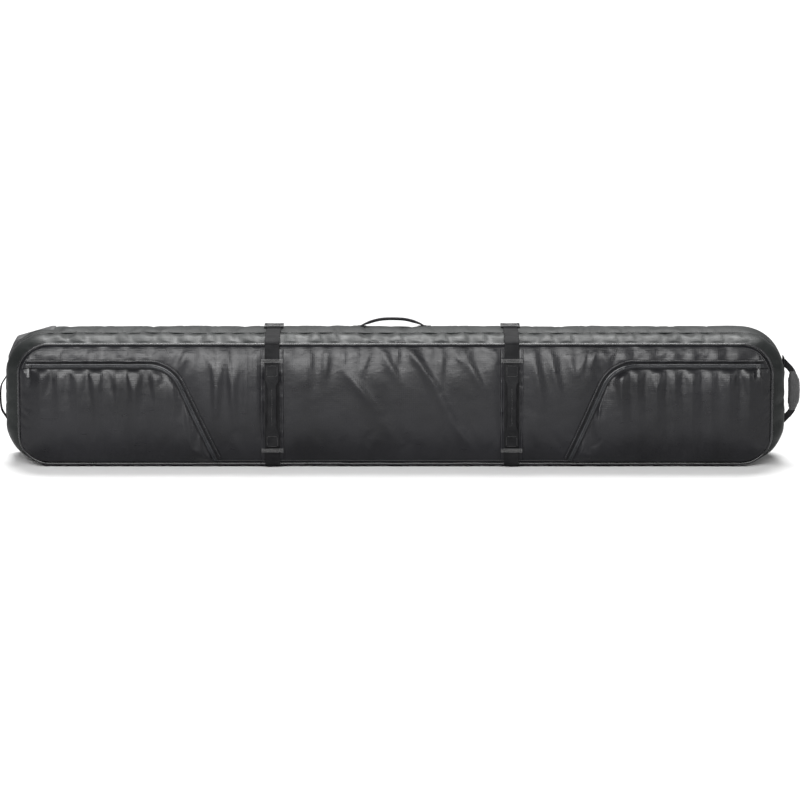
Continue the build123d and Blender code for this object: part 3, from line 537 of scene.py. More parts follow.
def ripple(x, scale, seed):
    """Smooth noise along one coordinate, from about -1 to 1."""
    local = np.random.default_rng(seed)
    total = np.zeros_like(x)
    for octave in range(3):
        knots = local.uniform(-1, 1, 4096)
        at = (x + 3.0) / scale * 2**octave
        low = np.floor(at).astype(int)
        t = at - low
        t = eased(t)
        total += (knots[low % 4096] * (1 - t) + knots[(low + 1) % 4096] * t) * 0.55**octave
    return total / 1.6


def triangles(x, t, spacing, seed):
    """Triangular puckers across a band: wide at one edge (t = 0 or 1) and gone at the other."""
    local = np.random.default_rng(seed)
    knots = local.uniform(-0.32, 0.32, 256)
    sizes = local.uniform(0.35, 1.0, 256)
    at = (x + 2.0) / spacing
    total = np.zeros(np.broadcast(x, t).shape)
    for near_top in (0, 1):
        cell = np.floor(at + 0.5 * near_top).astype(int) % 256
        inside = at + 0.5 * near_top - np.floor(at + 0.5 * near_top) - 0.5 - knots[cell] * 0.5
        reach = (1 - t) if near_top else t
        peak = np.clip(0.42 * (0.15 + reach) - np.abs(inside), 0, None) / 0.42
        total += peak * sizes[cell] * (1 if near_top else -0.7)
    return total

# ---- outlines --------------------------------------------------------------------------------

RUN_STEP = 0.006
LONG_STEPS = int(2 * (WALL_HALF - WALL_RADIUS) / RUN_STEP)
SHORT_STEPS = int((WALL_TOP - 2 * WALL_RADIUS) / RUN_STEP)
ARC_STEPS = int(WALL_RADIUS * math.pi / 2 / RUN_STEP)


def around(half, low, high, radius, fine=1):
    """A rounded rectangle from the middle of its arcs on: (x, z) points, anticlockwise."""
    out = []
    corners = [(half - radius, low + radius, -90), (half - radius, high - radius, 0),
               (-half + radius, high - radius, 90), (-half + radius, low + radius, 180)]
    for k, (cx, cz, turn) in enumerate(corners):
        angle = np.radians(np.linspace(turn, turn + 90, ARC_STEPS * fine, endpoint=False))
        arc = np.stack([cx + radius * np.cos(angle), cz + radius * np.sin(angle)], 1)
        nx, nz, _ = corners[(k + 1) % 4]
        a = np.radians(turn + 90)
        begin = np.array([cx + radius * math.cos(a), cz + radius * math.sin(a)])
        end = np.array([nx + radius * math.cos(a), nz + radius * math.sin(a)])
        steps = (SHORT_STEPS if k % 2 == 0 else LONG_STEPS) * fine
        run = begin + (end - begin) * np.linspace(0, 1, steps, endpoint=False)[:, None]
        out += [arc, run]
    return np.vstack(out)


def blended_outline(a, b, t):
    return [u + (v - u) * t for u, v in zip(a, b)]


WIDEST = (WALL_HALF + 0.001, 0.0, WALL_TOP, WALL_RADIUS)
WIDEST_FROM, WIDEST_TO = -0.03, 0.055  # depths between which the wall is at its widest


def wall_outline(y):
    """The wall's outline at a depth: full in the middle, drawn in at its two edges."""
    if y < WIDEST_FROM:
        t = np.clip((y - MOUTH_Y) / (WIDEST_FROM - MOUTH_Y), 0, 1)
        return blended_outline(MOUTH, WIDEST, math.sin(t * math.pi / 2) ** 0.8)
    t = np.clip((REAR_Y - y) / (REAR_Y - WIDEST_TO), 0, 1)
    return blended_outline(REAR, WIDEST, math.sin(t * math.pi / 2) ** 0.75)

# ---- side wall -------------------------------------------------------------------------------

HOUSING_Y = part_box("wheel_housing")[0][1]
HOUSING_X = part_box("wheel_housing")[1][0]
WALL_DEPTHS = np.concatenate([np.linspace(MOUTH_Y, SEAM_Y, 12),
                              np.linspace(SEAM_Y, HOUSING_Y, 7)[1:],
                              np.linspace(HOUSING_Y, REAR_Y, 13)[1:]])


def outside_housing(vertices, faces):
    """The faces that lie clear of the wheel housing."""
    kept = []
    for face in faces:
        middle = vertices[face].mean(0)
        if not (middle[1] > HOUSING_Y and middle[0] < HOUSING_X):
            kept.append(face)
    return kept


def without_loose(vertices, faces):
    """The vertices that faces use, the faces renumbered, and which vertices were kept."""
    used = sorted({k for face in faces for k in face})
    place = {old: new for new, old in enumerate(used)}
    return vertices[used], [[place[k] for k in face] for face in faces], used


def clear_of_housing(grid, **wraps):
    """A grid of points as a mesh, without its part at the wheel housing."""
    points = grid.reshape(-1, 3)
    return without_loose(points, outside_housing(points, grid_faces(*grid.shape[:2], **wraps)))


def wall_grid(inset=0.0):
    rows = []
    for y in WALL_DEPTHS:
        half, low, high, radius = wall_outline(y)
        xz = around(half - inset, low + inset, high - inset, radius - inset)
        rows.append(np.stack([xz[:, 0], np.full(len(xz), y), xz[:, 1]], 1))
    return np.stack(rows)


def make_wall():
    grid = wall_grid()
    rows, columns = grid.shape[:2]
    outward = unit(np.stack([np.gradient(grid[:, :, 2], axis=1), np.zeros((rows, columns)),
                             -np.gradient(grid[:, :, 0], axis=1)], 2))
    along = lengths(grid[12])
    depth = WALL_DEPTHS[:, None]
    front_edge = np.exp(-((depth - MOUTH_Y) / 0.03))
    seam_edge = np.exp(-np.abs(depth - SEAM_Y) / 0.022)
    rear_edge = np.exp(-((REAR_Y - depth) / 0.03))
    pucker = (front_edge * ripple(along, 0.021, 3)[None] + seam_edge * ripple(along, 0.034, 5)[None]
              + rear_edge * ripple(along, 0.03, 8)[None])
    drift = ripple(along[None] + depth * 0.9, 0.11, 13)
    front_band = np.clip((depth - MOUTH_Y) / (SEAM_Y - MOUTH_Y), 0, 1)
    rear_band = np.clip((depth - SEAM_Y) / (REAR_Y - SEAM_Y), 0, 1)
    facets = np.where(depth < SEAM_Y, triangles(along[None], front_band, 0.046, 33),
                      0.8 * triangles(along[None], rear_band, 0.075, 34))
    crosswise = np.abs(grid[:, :, 0]) > WALL_HALF - WALL_RADIUS
    facets = np.where(crosswise, 0.35 * facets, facets) * np.where(depth < SEAM_Y, 1.0, 0.25)
    relief = 0.0008 * pucker + 0.0007 * drift + 0.0040 * (facets - 0.10)
    relief += 0.0018 * np.where(depth > SEAM_Y, np.sin(math.pi * np.clip(rear_band, 0, 1)), 0)
    relief -= 0.0012 * np.exp(-((depth - SEAM_Y) / 0.004) ** 2)
    edge = (np.arange(rows) == 0) | (np.arange(rows) == rows - 1)
    relief = np.where(edge[:, None], 0, relief)
    near_top = (grid[:, :, 2] > WALL_TOP - 0.02) & (np.abs(grid[:, :, 0]) < WALL_HALF - WALL_RADIUS)
    for strap_x in STRAP_X.values():
        near_strap = np.exp(-((grid[:, :, 0] - strap_x) / 0.02) ** 4)
        relief = np.where(near_top, relief * (1 - near_strap), relief)
    grid = grid + outward * relief[:, :, None]
    flat_grid = grid.reshape(-1, 3)
    seam_row = int(np.argmin(np.abs(WALL_DEPTHS - SEAM_Y)))
    held = np.zeros((rows, columns))
    held[0] = held[-1] = held[seam_row] = 1
    beside_housing = (grid[:, :, 0] < HOUSING_X + 0.004) & (grid[:, :, 1] > HOUSING_Y - 0.001)
    held[beside_housing] = 1
    vertices, faces, used = clear_of_housing(grid, wrap_columns=True)
    made = piece("side_wall", vertices, faces, "shell", None, "shell_fabric")
    settle(made, held.ravel()[used], grow=0.012, pressure=1.2, cap=0.006)
    where = coordinates(made)
    start = flat_grid[used]
    under = (start[:, 2] < 0.03) & (np.abs(start[:, 0]) < WALL_HALF - WALL_RADIUS)
    where[under, 2] = np.minimum(where[under, 2], start[under, 2] + 0.002)
    floor = np.full(len(where), 0.0004)
    for strap_x in STRAP_X.values():
        floor[(np.abs(where[:, 0] - strap_x) < STRAP_WIDTH / 2 + 0.004)] = 0.0026
    where[:, 2] = np.maximum(where[:, 2], floor)
    set_coordinates(made, where)
    flat_grid[used] = where
    thicken(made, 0.0018)
    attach(made, "root")
    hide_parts("top_gusset", "bottom_gusset", "wheel_end_wall", "tow_end_wall")
    return flat_grid.reshape(rows, columns, 3)


wall_shape = make_wall()


def wall_top_z(x, y):
    """The height of the top gusset's surface at (x, y)."""
    top = wall_shape[:, :, 2] > WALL_TOP * 0.6
    points = wall_shape[top]
    near = np.argsort((points[:, 0] - x) ** 2 + (points[:, 1] - y) ** 2)[:6]
    return float(points[near, 2].mean())

# ---- front cover -----------------------------------------------------------------------------


def pocket_line(side, spacing=0.003):
    """Middle of a pocket's zip, and its corner, worked out from the CAD zip's convex edge."""
    sign = -1 if side == "left" else 1
    points = node_points(f"{side}_pocket_zip")
    u, z = -np.abs(points[:, 0]), points[:, 2]
    foot = np.array([u.max(), z[u.argmax()]])
    top = z.max()
    bend_start = u[z > top - 1e-5].max()
    above = z > foot[1] + 0.02
    lean = ((u[above] - foot[0]) / (z[above] - foot[1])).max()
    down = unit(np.array([-lean, -1.0]))
    inward = np.array([-down[1], down[0]])
    corner = foot - down * (top - foot[1]) / -down[1]
    turn = math.acos(float(down[0]))
    radius = (corner[0] - bend_start) / math.tan(turn / 2) - ZIP_HALF
    foot = foot - inward * ZIP_HALF
    corner = foot - down * (ZIP_Z - foot[1]) / -down[1]
    reach = radius * math.tan(turn / 2)
    angle = np.linspace(math.pi / 2, math.pi / 2 - turn, int(radius * turn / spacing))
    centre = np.array([corner[0] - reach, ZIP_Z - radius])
    arc = centre + radius * np.stack([np.cos(angle), np.sin(angle)], 1)
    straight = np.linspace(u.min(), centre[0], int(0.3 / spacing), endpoint=False)
    foot = foot + down * 0.014
    length = np.linalg.norm(foot - arc[-1])
    fall = arc[-1] + (foot - arc[-1]) * np.linspace(0, 1, int(length / spacing))[1:, None]
    line = np.vstack([np.stack([straight, np.full(len(straight), ZIP_Z)], 1), arc, fall])
    line[:, 0] *= -sign
    return line, -sign * corner[0]


def offset_line(line, amount):
    """The line moved sideways in the cover's plane, positive towards the pocket."""
    tangent = unit(np.gradient(line, axis=0))
    sign = 1 if line[0, 0] < 0 else -1
    return line + sign * amount * np.stack([tangent[:, 1], -tangent[:, 0]], 1)


POCKET_LINES, POCKET_CORNERS = {}, {}
for side in SIDES:
    POCKET_LINES[side], POCKET_CORNERS[side] = pocket_line(side)

corner_turn = np.radians(np.linspace(0, 90, 15))[1:]
corner_x = COVER_HALF - COVER_RADIUS + COVER_RADIUS * np.sin(corner_turn)
straight_x = np.linspace(-COVER_HALF + COVER_RADIUS, COVER_HALF - COVER_RADIUS, 300)
COVER_X = np.concatenate([-corner_x[::-1], straight_x, corner_x])
COVER_T = np.linspace(0, 1, 56)


def cover_limits(x):
    """Lowest and highest point of the cover at x."""
    over = np.clip(np.abs(x) - (COVER_HALF - COVER_RADIUS), 0, COVER_RADIUS)
    rise = COVER_RADIUS - np.sqrt(COVER_RADIUS**2 - over**2)
    return COVER_LOW + rise, COVER_HIGH - rise


FULLEST = 0.42  # the share of the cover's height where it stands out most


def cover_base(x, z):
    """The padded cover's depth without its folds: a soft crown that is fullest above its middle."""
    low, high = cover_limits(x)
    t = np.clip((z - low) / np.maximum(high - low, 1e-6), 0, 1)
    edge = np.minimum(np.minimum(z - low, high - z), COVER_HALF - np.abs(x))
    shoulder = 1 - np.exp(-np.clip(edge, 0, None) / 0.012)
    away = np.where(t > FULLEST, (t - FULLEST) / (1 - FULLEST), (FULLEST - t) / FULLEST)
    crown = 1 - away**2.2
    ends = 1 - np.exp(-np.clip(COVER_HALF - np.abs(x), 0, None) / 0.05)
    return COVER_EDGE_Y - 0.001 - 0.0065 * shoulder - 0.0115 * crown * shoulder * ends


# Soft folds across the cover, from one end to the other, then half width and height in metres.
# Where they run was read off the photograph.
# Each end is (along, up): a share of the way from the left strap to the right one, and a share
# of the cover's height.
COVER_FOLDS = [
    (0.296, 0.8, 0.444, 0.454, 0.01, 0.005),
    (0.426, 0.469, 0.533, 0.162, 0.013, 0.0024),
    (0.572, 0.977, 0.689, 0.646, 0.01, 0.0056),
    (0.669, 0.7, 0.759, 0.354, 0.012, 0.0044),
    (0.739, 0.4, 0.856, 0.069, 0.012, 0.005),
    (0.455, 0.977, 0.537, 0.685, 0.009, 0.0032),
    (0.805, 0.915, 0.895, 0.585, 0.009, 0.0036),
    (0.757, 0.977, 0.805, 0.823, 0.007, 0.0024),
    (0.144, 0.977, 0.132, 0.508, 0.013, 0.0026),
    (0.222, 0.969, 0.222, 0.7, 0.009, 0.0024),
    (0.825, 0.392, 0.895, 0.123, 0.01, 0.0026),
    (1.089, 0.977, 1.132, 0.469, 0.011, 0.0044),
    (1.156, 0.977, 1.206, 0.546, 0.01, 0.0036),
    (1.23, 0.931, 1.276, 0.7, 0.009, 0.0028),
    (-0.167, 0.238, -0.128, 0.046, 0.011, 0.0022),
    (1.097, 0.392, 1.128, 0.085, 0.011, 0.0026),
]

# ---- room for the pocket sliders -------------------------------------------------------------

FILM_STANDS = 0.0030  # a pocket zip's film in front of the cover's face
SLIDER_TO_FILM = 0.00085
SLIDER_TO_COVER = 0.0026
PULL_LEAN = math.radians(15)  # the pocket pulls hang clear of the pleats, tipped away from the cover
PULL_TO_POCKET = 0.0016  # from the middle of a pull's thickness
PULL_TO_BRIDGE = 0.0004  # the pull's eye stands this far out, clear of the slider's bridge


CHANNEL_RUN_OUT = 0.030  # length over which the channel fades past each end of the travel
CHANNEL_SPARE = 0.0015  # how much wider than the zip the channel is, on either side
CHANNEL_EDGE = 0.0035  # width of the channel's sloping edge
PLEAT_SOFTNESS = 0.0008  # how gently the pleats flatten as they near the pull


def along_path(side, x):
    """1 wherever a pocket's slider can be, from its joint's range, fading to 0 past both ends."""
    low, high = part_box(f"{side}_pocket_slider")
    start, end = joint(f"{side}_pocket_slide")["range_m"]
    beyond = np.maximum(low[0] + start - x, x - high[0] - end)
    return np.clip(1 - beyond / CHANNEL_RUN_OUT, 0, 1)


def room_for_sliders(y, x, z, gap):
    """Depths moved back, in the sliders' channels, until they clear the sliders' rear faces."""
    across = np.clip((ZIP_HALF + CHANNEL_SPARE - np.abs(z - ZIP_Z)) / CHANNEL_EDGE, 0, 1)
    for side in SIDES:
        rear_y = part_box(f"{side}_pocket_slider")[1][1]
        y = y + along_path(side, x) * across * np.clip(rear_y + gap - y, 0, None)
    return y


def room_for_pull(side, x, y, z):
    """A pocket's depths, with the pleats kept behind the leaning pull wherever it can be."""
    low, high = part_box(f"{side}_pocket_pull")
    limit = (low[1] + high[1]) / 2 + PULL_TO_POCKET - (high[2] - z) * math.tan(PULL_LEAN)
    kept = limit + PLEAT_SOFTNESS * np.logaddexp(0, (y - limit) / PLEAT_SOFTNESS)
    return y + along_path(side, x) * (kept - y)


def between_straps(share):
    return STRAP_X["left"] + (STRAP_X["right"] - STRAP_X["left"]) * share


def up_cover(share):
    return COVER_LOW + (COVER_HIGH - COVER_LOW) * share


def hanging_folds(start_x, end_x, top_z, count, seed, reach=(0.05, 0.15), height=0.0026):
    """Upright folds at uneven places, hanging from one level."""
    local = np.random.default_rng(seed)
    strokes = []
    for k in range(count):
        x = start_x + (end_x - start_x) * (k + 0.5 + local.uniform(-0.3, 0.3)) / count
        length = local.uniform(*reach)
        strokes.append((x, top_z + 0.01, x + local.uniform(-0.02, 0.02), top_z - length,
                        local.uniform(0.006, 0.011), height * local.uniform(0.5, 1.2)))
    return strokes


def make_cover():
    x = np.broadcast_to(COVER_X[:, None], (len(COVER_X), len(COVER_T)))
    low, high = cover_limits(x)
    z = low + (high - low) * COVER_T[None]
    strokes = [(between_straps(a), up_cover(b), between_straps(c), up_cover(d), width, height)
               for a, b, c, d, width, height in COVER_FOLDS]
    left_corner, right_corner = POCKET_CORNERS["left"], POCKET_CORNERS["right"]
    left_edge = STRAP_X["left"] - PLACKET_HALF
    level = COVER_HIGH - 0.016
    strokes += hanging_folds(left_corner + 0.077, left_edge - 0.003, level, 6, 21, (0.09, 0.2),
                             0.0048)
    strokes += hanging_folds(left_corner + 0.027, left_corner + 0.08, level, 3, 26, (0.03, 0.07),
                             0.003)
    strokes += hanging_folds(right_corner - 0.066, right_corner - 0.011, level, 3, 27, (0.03, 0.07),
                             0.003)
    strokes += hanging_folds(STRAP_X["left"] + 0.034, STRAP_X["right"] - 0.03, COVER_HIGH - 0.006,
                             14, 25, (0.02, 0.06), 0.0022)
    edge = np.minimum(np.minimum(z - low, high - z), COVER_HALF - np.abs(x))
    free = 1 - np.exp(-np.clip(edge, 0, None) / 0.006)
    above_zip = np.clip((z - ZIP_Z - ZIP_HALF) / (high - ZIP_Z - ZIP_HALF), 0, 1)
    past_corner = np.maximum(POCKET_CORNERS["left"] - x, x - POCKET_CORNERS["right"])
    over_pocket = np.clip(past_corner / 0.03, 0, 1) * (above_zip > 0)
    facets = triangles(x, above_zip, 0.048, 31) * over_pocket
    y = cover_base(x, z) - folds(x, z, strokes) * free - 0.0042 * facets * free
    grid = np.stack([x, y, z], 2)
    made = piece("cover_shell", grid.reshape(-1, 3), grid_faces(*x.shape), "front", None)
    held = np.zeros(x.shape)
    held[0] = held[-1] = 1
    held[:, 0] = held[:, -1] = 1
    for strap_x in STRAP_X.values():
        held = np.where(np.abs(x - strap_x) < PLACKET_HALF, 1, held)
    for line in POCKET_LINES.values():
        near = np.full(x.shape, 9.0)
        for px, pz in line[::3]:
            near = np.minimum(near, np.hypot(x - px, z - pz))
        held = np.where(near < ZIP_HALF + 0.002, 1, held)
    settle(made, held.ravel(), grow=0.008, pressure=0.8, cap=0.0045)
    depth = coordinates(made).reshape(*x.shape, 3)[:, :, 1]
    bpy.data.objects.remove(made)
    return room_for_sliders(depth, x, z, SLIDER_TO_COVER)


cover_depth = make_cover()


def cover_y(x, z):
    """Depth of the cover's outer face, from the simulated cloth."""
    x, z = np.asarray(x, float), np.asarray(z, float)
    low, high = cover_limits(x)
    t = np.clip((z - low) / np.maximum(high - low, 1e-6), 0, 1) * (len(COVER_T) - 1)
    i = np.clip(np.searchsorted(COVER_X, x) - 1, 0, len(COVER_X) - 2)
    u = np.clip((x - COVER_X[i]) / (COVER_X[i + 1] - COVER_X[i]), 0, 1)
    j = np.clip(t.astype(int), 0, len(COVER_T) - 2)
    v = t - j
    d = cover_depth
    return ((d[i, j] * (1 - u) + d[i + 1, j] * u) * (1 - v)
            + (d[i, j + 1] * (1 - u) + d[i + 1, j + 1] * u) * v)


COVER_BACK_Y = piping_high[1]


def closed_panel(name, front, back_y, material, body, slot):
    """A closed shell: a grid of front points, and a flat back joined to its rim."""
    n, m = front.shape[:2]
    back = front.copy()
    back[:, :, 1] = back_y
    rim = [(i, 0) for i in range(n)] + [(n - 1, j) for j in range(1, m)]
    rim += [(i, m - 1) for i in range(n - 2, -1, -1)] + [(0, j) for j in range(m - 2, 0, -1)]
    faces = grid_faces(n, m) + [f[::-1] for f in grid_faces(n, m, first=n * m)]
    for (a, b), (c, d) in zip(rim, rim[1:] + rim[:1]):
        faces.append([a * m + b, c * m + d, n * m + c * m + d, n * m + a * m + b])
    vertices = np.vstack([front.reshape(-1, 3), back.reshape(-1, 3)])
    return piece(name, vertices, faces, material, body, slot)


def make_cover_shell():
    x = np.broadcast_to(COVER_X[:, None], (len(COVER_X), len(COVER_T)))
    low, high = cover_limits(x)
    inner = 0.0025
    x = x * (1 - inner / COVER_HALF)
    z = low + inner + (high - low - 2 * inner) * COVER_T[None]
    front = np.stack([x, cover_depth, z], 2)
    made = closed_panel("cover_shell", front, COVER_BACK_Y - 0.0005, "front", "cover",
                        "front_fabric")
    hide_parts("front_panel", "front_padding")


make_cover_shell()


def along_outline(values, y, fine=1, wander=0.0, seed=0):
    """Points round a (half, low, high, radius) outline at a depth, with a slight wander."""
    xz = around(*values, fine)
    path = np.stack([xz[:, 0], np.full(len(xz), y), xz[:, 1]], 1)
    step = np.linalg.norm(np.diff(path, axis=0, prepend=path[-1:]), axis=1)
    along = np.cumsum(step)
    away = unit(path - (0, y, (values[1] + values[2]) / 2))
    shift = ripple(along, 0.045, seed)[:, None] * wander
    fade = np.minimum(1, np.minimum(along, along[-1] - along) / 0.05)[:, None]
    path += (away * (0.3, 0, 1) * shift + np.array([0, 1, 0])
             * ripple(along, 0.06, seed + 1)[:, None]
             * wander) * fade
    return path, along


def open_run(path, keep):
    """The stretch of a closed path where keep holds, in order."""
    first = int(np.flatnonzero(keep & ~np.roll(keep, 1))[0])
    turned = np.roll(path, -first, axis=0)
    return turned[np.roll(keep, -first)]


def make_piping(name, node, path, along, closed, body):
    radii = PIPING * (0.9 + 0.09 * ripple(along[:len(path)], 0.011, 41))
    vertices, faces = tube(path, radii, 12, closed=closed)
    made = piece(name, vertices, faces, "piping", body, "piping")
    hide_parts(node)


COVER_OUTLINE = (COVER_HALF, COVER_LOW, COVER_HIGH, COVER_RADIUS)
path, along = along_outline(COVER_OUTLINE, COVER_EDGE_Y, 2, 0.0009, 42)
path[:, 2] = np.clip(path[:, 2], COVER_LOW - 0.001, None)
make_piping("front_piping_cord", "front_piping", path, along, True, "cover")

REAR_PIPING_Y = (rear_low[1] + rear_high[1]) / 2
path, along = along_outline(REAR_OUTLINE, REAR_PIPING_Y, 2, 0.0009, 44)
path = open_run(path, path[:, 0] > HOUSING_X - 0.002)
make_piping("rear_piping_cord", "rear_piping", path, along, False, "root")

# a row of stitches beside the front piping, through the cover
inner = tuple(v + d for v, d in zip(COVER_OUTLINE, (-0.0075, 0.0075, -0.0075, -0.0075)))
path, _ = along_outline(inner, 0.0, 2)
path[:, 1] = cover_y(path[:, 0], path[:, 2]) - 0.0001
piece("cover_edge_stitching", *stitches(path, (0, -1, 0.0)), "thread", "cover", "webbing")

# ---- main zip --------------------------------------------------------------------------------

ZIP_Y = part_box("main_zip_wall_tape")[0][1] - 0.0002


def tape_run(values, fine=1):
    """The part of the outline that the zip follows: all but the straight run underneath."""
    path, _ = along_outline(values, 0.0, fine)
    keep = (path[:, 2] > values[1] + 0.0006) | (np.abs(path[:, 0]) > values[0] - values[3])
    return open_run(path, keep)


def make_tape(name, front_y, rear_y, body, node, seed):
    run = tape_run(MOUTH)
    along = lengths(run)
    away = unit(run - (0, 0, WALL_TOP / 2)) * (0.3, 0, 1)
    depths = np.linspace(front_y, rear_y, 5)
    rows = []
    for k, y in enumerate(depths):
        rise = 0.0006 * math.sin(math.pi * k / 4) + 0.0005 * ripple(along, 0.03, seed)
        row = run + away * rise[:, None]
        row[:, 1] = y
        rows.append(row)
    made = piece(name, np.vstack(rows), grid_faces(5, len(run)), "zip_tape", None, "zip_tape")
    thicken(made, 0.0012)
    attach(made, body)
    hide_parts(node)


make_tape("wall_zip_tape", ZIP_Y + 0.0011, MOUTH_Y + 0.0008, "root", "main_zip_wall_tape", 51)
make_tape("cover_zip_tape", COVER_BACK_Y + 0.0002, ZIP_Y - 0.0011, "cover", "main_zip_cover_tape",
          52)


def make_coil(name, y, body, turn_sign):
    """One side of the coil: a monofilament wound along the edge of its tape."""
    run = tape_run(MOUTH, 2)
    along = lengths(run)
    pitch, per_turn = 0.0030, 7
    s = np.arange(0, along[-1], pitch / per_turn)
    middle = np.stack([np.interp(s, along, run[:, k]) for k in range(3)], 1)
    away = unit(unit(middle - (0, 0, WALL_TOP / 2)) * (0.2, 0, 1))
    angle = 2 * math.pi * s / pitch
    line = middle + away * (0.0002 + 0.0009 * np.cos(angle))[:, None]
    line[:, 1] = y + turn_sign * 0.0011 * np.sin(angle)
    vertices, faces = tube(line, 0.00042, 5, up=(0, 1, 0.01))
    piece(name, vertices, faces, "zip_coil", body, "zip_tape")


make_coil("wall_zip_coil", ZIP_Y + 0.0010, "root", 1)
make_coil("cover_zip_coil", ZIP_Y - 0.0010, "cover", -1)


def make_hinge():
    half = MOUTH[0] - MOUTH[3] + 0.002
    x = np.linspace(-half, half, 200)
    depth = np.linspace(MOUTH_Y + 0.0015, COVER_EDGE_Y + 0.002, 14)
    grid = np.zeros((len(x), len(depth), 3))
    grid[:, :, 0] = x[:, None]
    grid[:, :, 1] = depth[None]
    between = np.sin(np.pi * np.linspace(0, 1, len(depth)))[None]
    grid[:, :, 2] = MOUTH[1] + 0.0004 - 0.0012 * between * (1 + 0.4 * ripple(x, 0.03, 61)[:, None])
    made = piece("cover_hinge_fabric", grid.reshape(-1, 3), grid_faces(*grid.shape[:2]), "shell",
                 None, "shell_fabric")
    thicken(made, 0.0012)
    subdivide(made)
    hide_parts("hinge_strip")
    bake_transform(made)


make_hinge()

# ---- prisms, sliders and pulls ---------------------------------------------------------------


def prism(points, low, high, rounding=0.0004, steps=2):
    """A rounded plate from (u, v) points, between two levels of w."""
    work = bmesh.new()
    base = [work.verts.new((u, v, low)) for u, v in points]
    face = work.faces.new(base)
    up = bmesh.ops.extrude_face_region(work, geom=[face])
    for item in up["geom"]:
        if isinstance(item, bmesh.types.BMVert):
            item.co.z = high
    bmesh.ops.recalc_face_normals(work, faces=work.faces)
    bmesh.ops.bevel(work, geom=list(work.edges), offset=rounding, segments=steps, profile=0.6,
                    affect="EDGES", clamp_overlap=True)
    work.verts.index_update()
    vertices = np.array([v.co[:] for v in work.verts])
    faces = [[v.index for v in f.verts] for f in work.faces]
    work.free()
    return vertices, faces


def placed(part, origin, u, v, w):
    vertices, faces = part
    axes = np.array([u, v, w], float)
    return np.asarray(vertices) @ axes + np.asarray(origin, float), faces


def rounded_outline(length, width, radius, start=0.0, count=6):
    """(u, v) points of a plate from u = start, with round ends."""
    out = []
    for u, v, turn in ((start + length - radius, -width / 2 + radius, -90),
                       (start + length - radius, width / 2 - radius, 0),
                       (start + radius, width / 2 - radius, 90),
                       (start + radius, -width / 2 + radius, 180)):
        for k in range(count + 1):
            a = math.radians(turn + 90 * k / count)
            out.append((u + radius * math.cos(a), v + radius * math.sin(a)))
    return out


SHIELD = [(-6.0, -2.4), (-4.6, -3.6), (-1.5, -4.1), (3.2, -4.3), (5.2, -4.0), (6.0, -3.0),
          (6.0, -0.9), (4.6, 0.0), (6.0, 0.9), (6.0, 3.0), (5.2, 4.0), (3.2, 4.3), (-1.5, 4.1),
          (-4.6, 3.6), (-6.0, 2.4)]


def slider_parts():
    """A zip slider in millimetres: two shield-shaped wings, their neck and the bridge."""
    wings = [prism(SHIELD, 0.0, 1.1, 0.35), prism(SHIELD, 2.3, 3.4, 0.35)]
    neck = prism(rounded_outline(3.0, 1.8, 0.8, 2.6), 1.0, 2.5, 0.2)
    arch = smooth_path([(-4.2, 0, 3.0), (-3.6, 0, 4.6), (-1.2, 0, 5.2), (1.6, 0, 5.0),
                        (3.2, 0, 4.0), (3.6, 0, 3.0)], 0.35)
    bridge = swept(arch, (0, 1, 0), 2.4, 1.0, band_section(1.0))
    return joined([*wings, neck, bridge])


def scaled(part, factor):
    return np.asarray(part[0]) * factor, part[1]


def make_slider(name, node, body, u, v, w, fit=1.0):
    low, high = (np.array(c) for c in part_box(node))
    w_axis = np.array(w, float)
    middle = (low + high) / 2
    depth = float(np.abs((high - low) @ w_axis))
    base = middle - w_axis * depth / 2
    part = placed(scaled(slider_parts(), 0.001 * fit), base, u, v, w)
    made = piece(name, *part, "zip_metal", body, "zip_metal")
    made.data.set_sharp_from_angle(angle=math.radians(40))
    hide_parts(node)


def make_pull(name, node, body, origin, u, v, w):
    """A wire link and a moulded tab, hanging along u."""
    ring = []
    for k in range(28):
        a = 2 * math.pi * k / 28
        ring.append((4.2 + 4.0 * math.cos(a), 2.3 * math.sin(a), 0.0))
    link = tube(np.array(ring), 0.55, 8, closed=True, up=(0, 0, 1))
    stem = prism(rounded_outline(5.0, 3.4, 1.4, 6.2), -0.85, 0.85, 0.35)
    outline = [(9.0, -2.2), (12.0, -2.9), (17.0, -2.5), (22.0, -3.1), (24.6, -2.9), (25.6, -1.6),
               (25.6, 1.6), (24.6, 2.9), (22.0, 3.1), (17.0, 2.5), (12.0, 2.9), (9.0, 2.2)]
    tab = prism(outline, -1.0, 1.0, 0.5, 3)
    ridges = [prism([(t, -1.9), (t + 0.8, -1.9), (t + 0.8, 1.9), (t, 1.9)], side * 0.7, side * 1.25,
                    0.15, 1)
              for t in (13.0, 15.2, 17.4, 19.6, 21.8) for side in (-1, 1)]
    part = placed(scaled(joined([link, stem, tab, *ridges]), 0.001), origin, u, v, w)
    made = piece(name, *part, "pull", body, "pull_tab")
    made.data.set_sharp_from_angle(angle=math.radians(40))
    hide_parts(node)


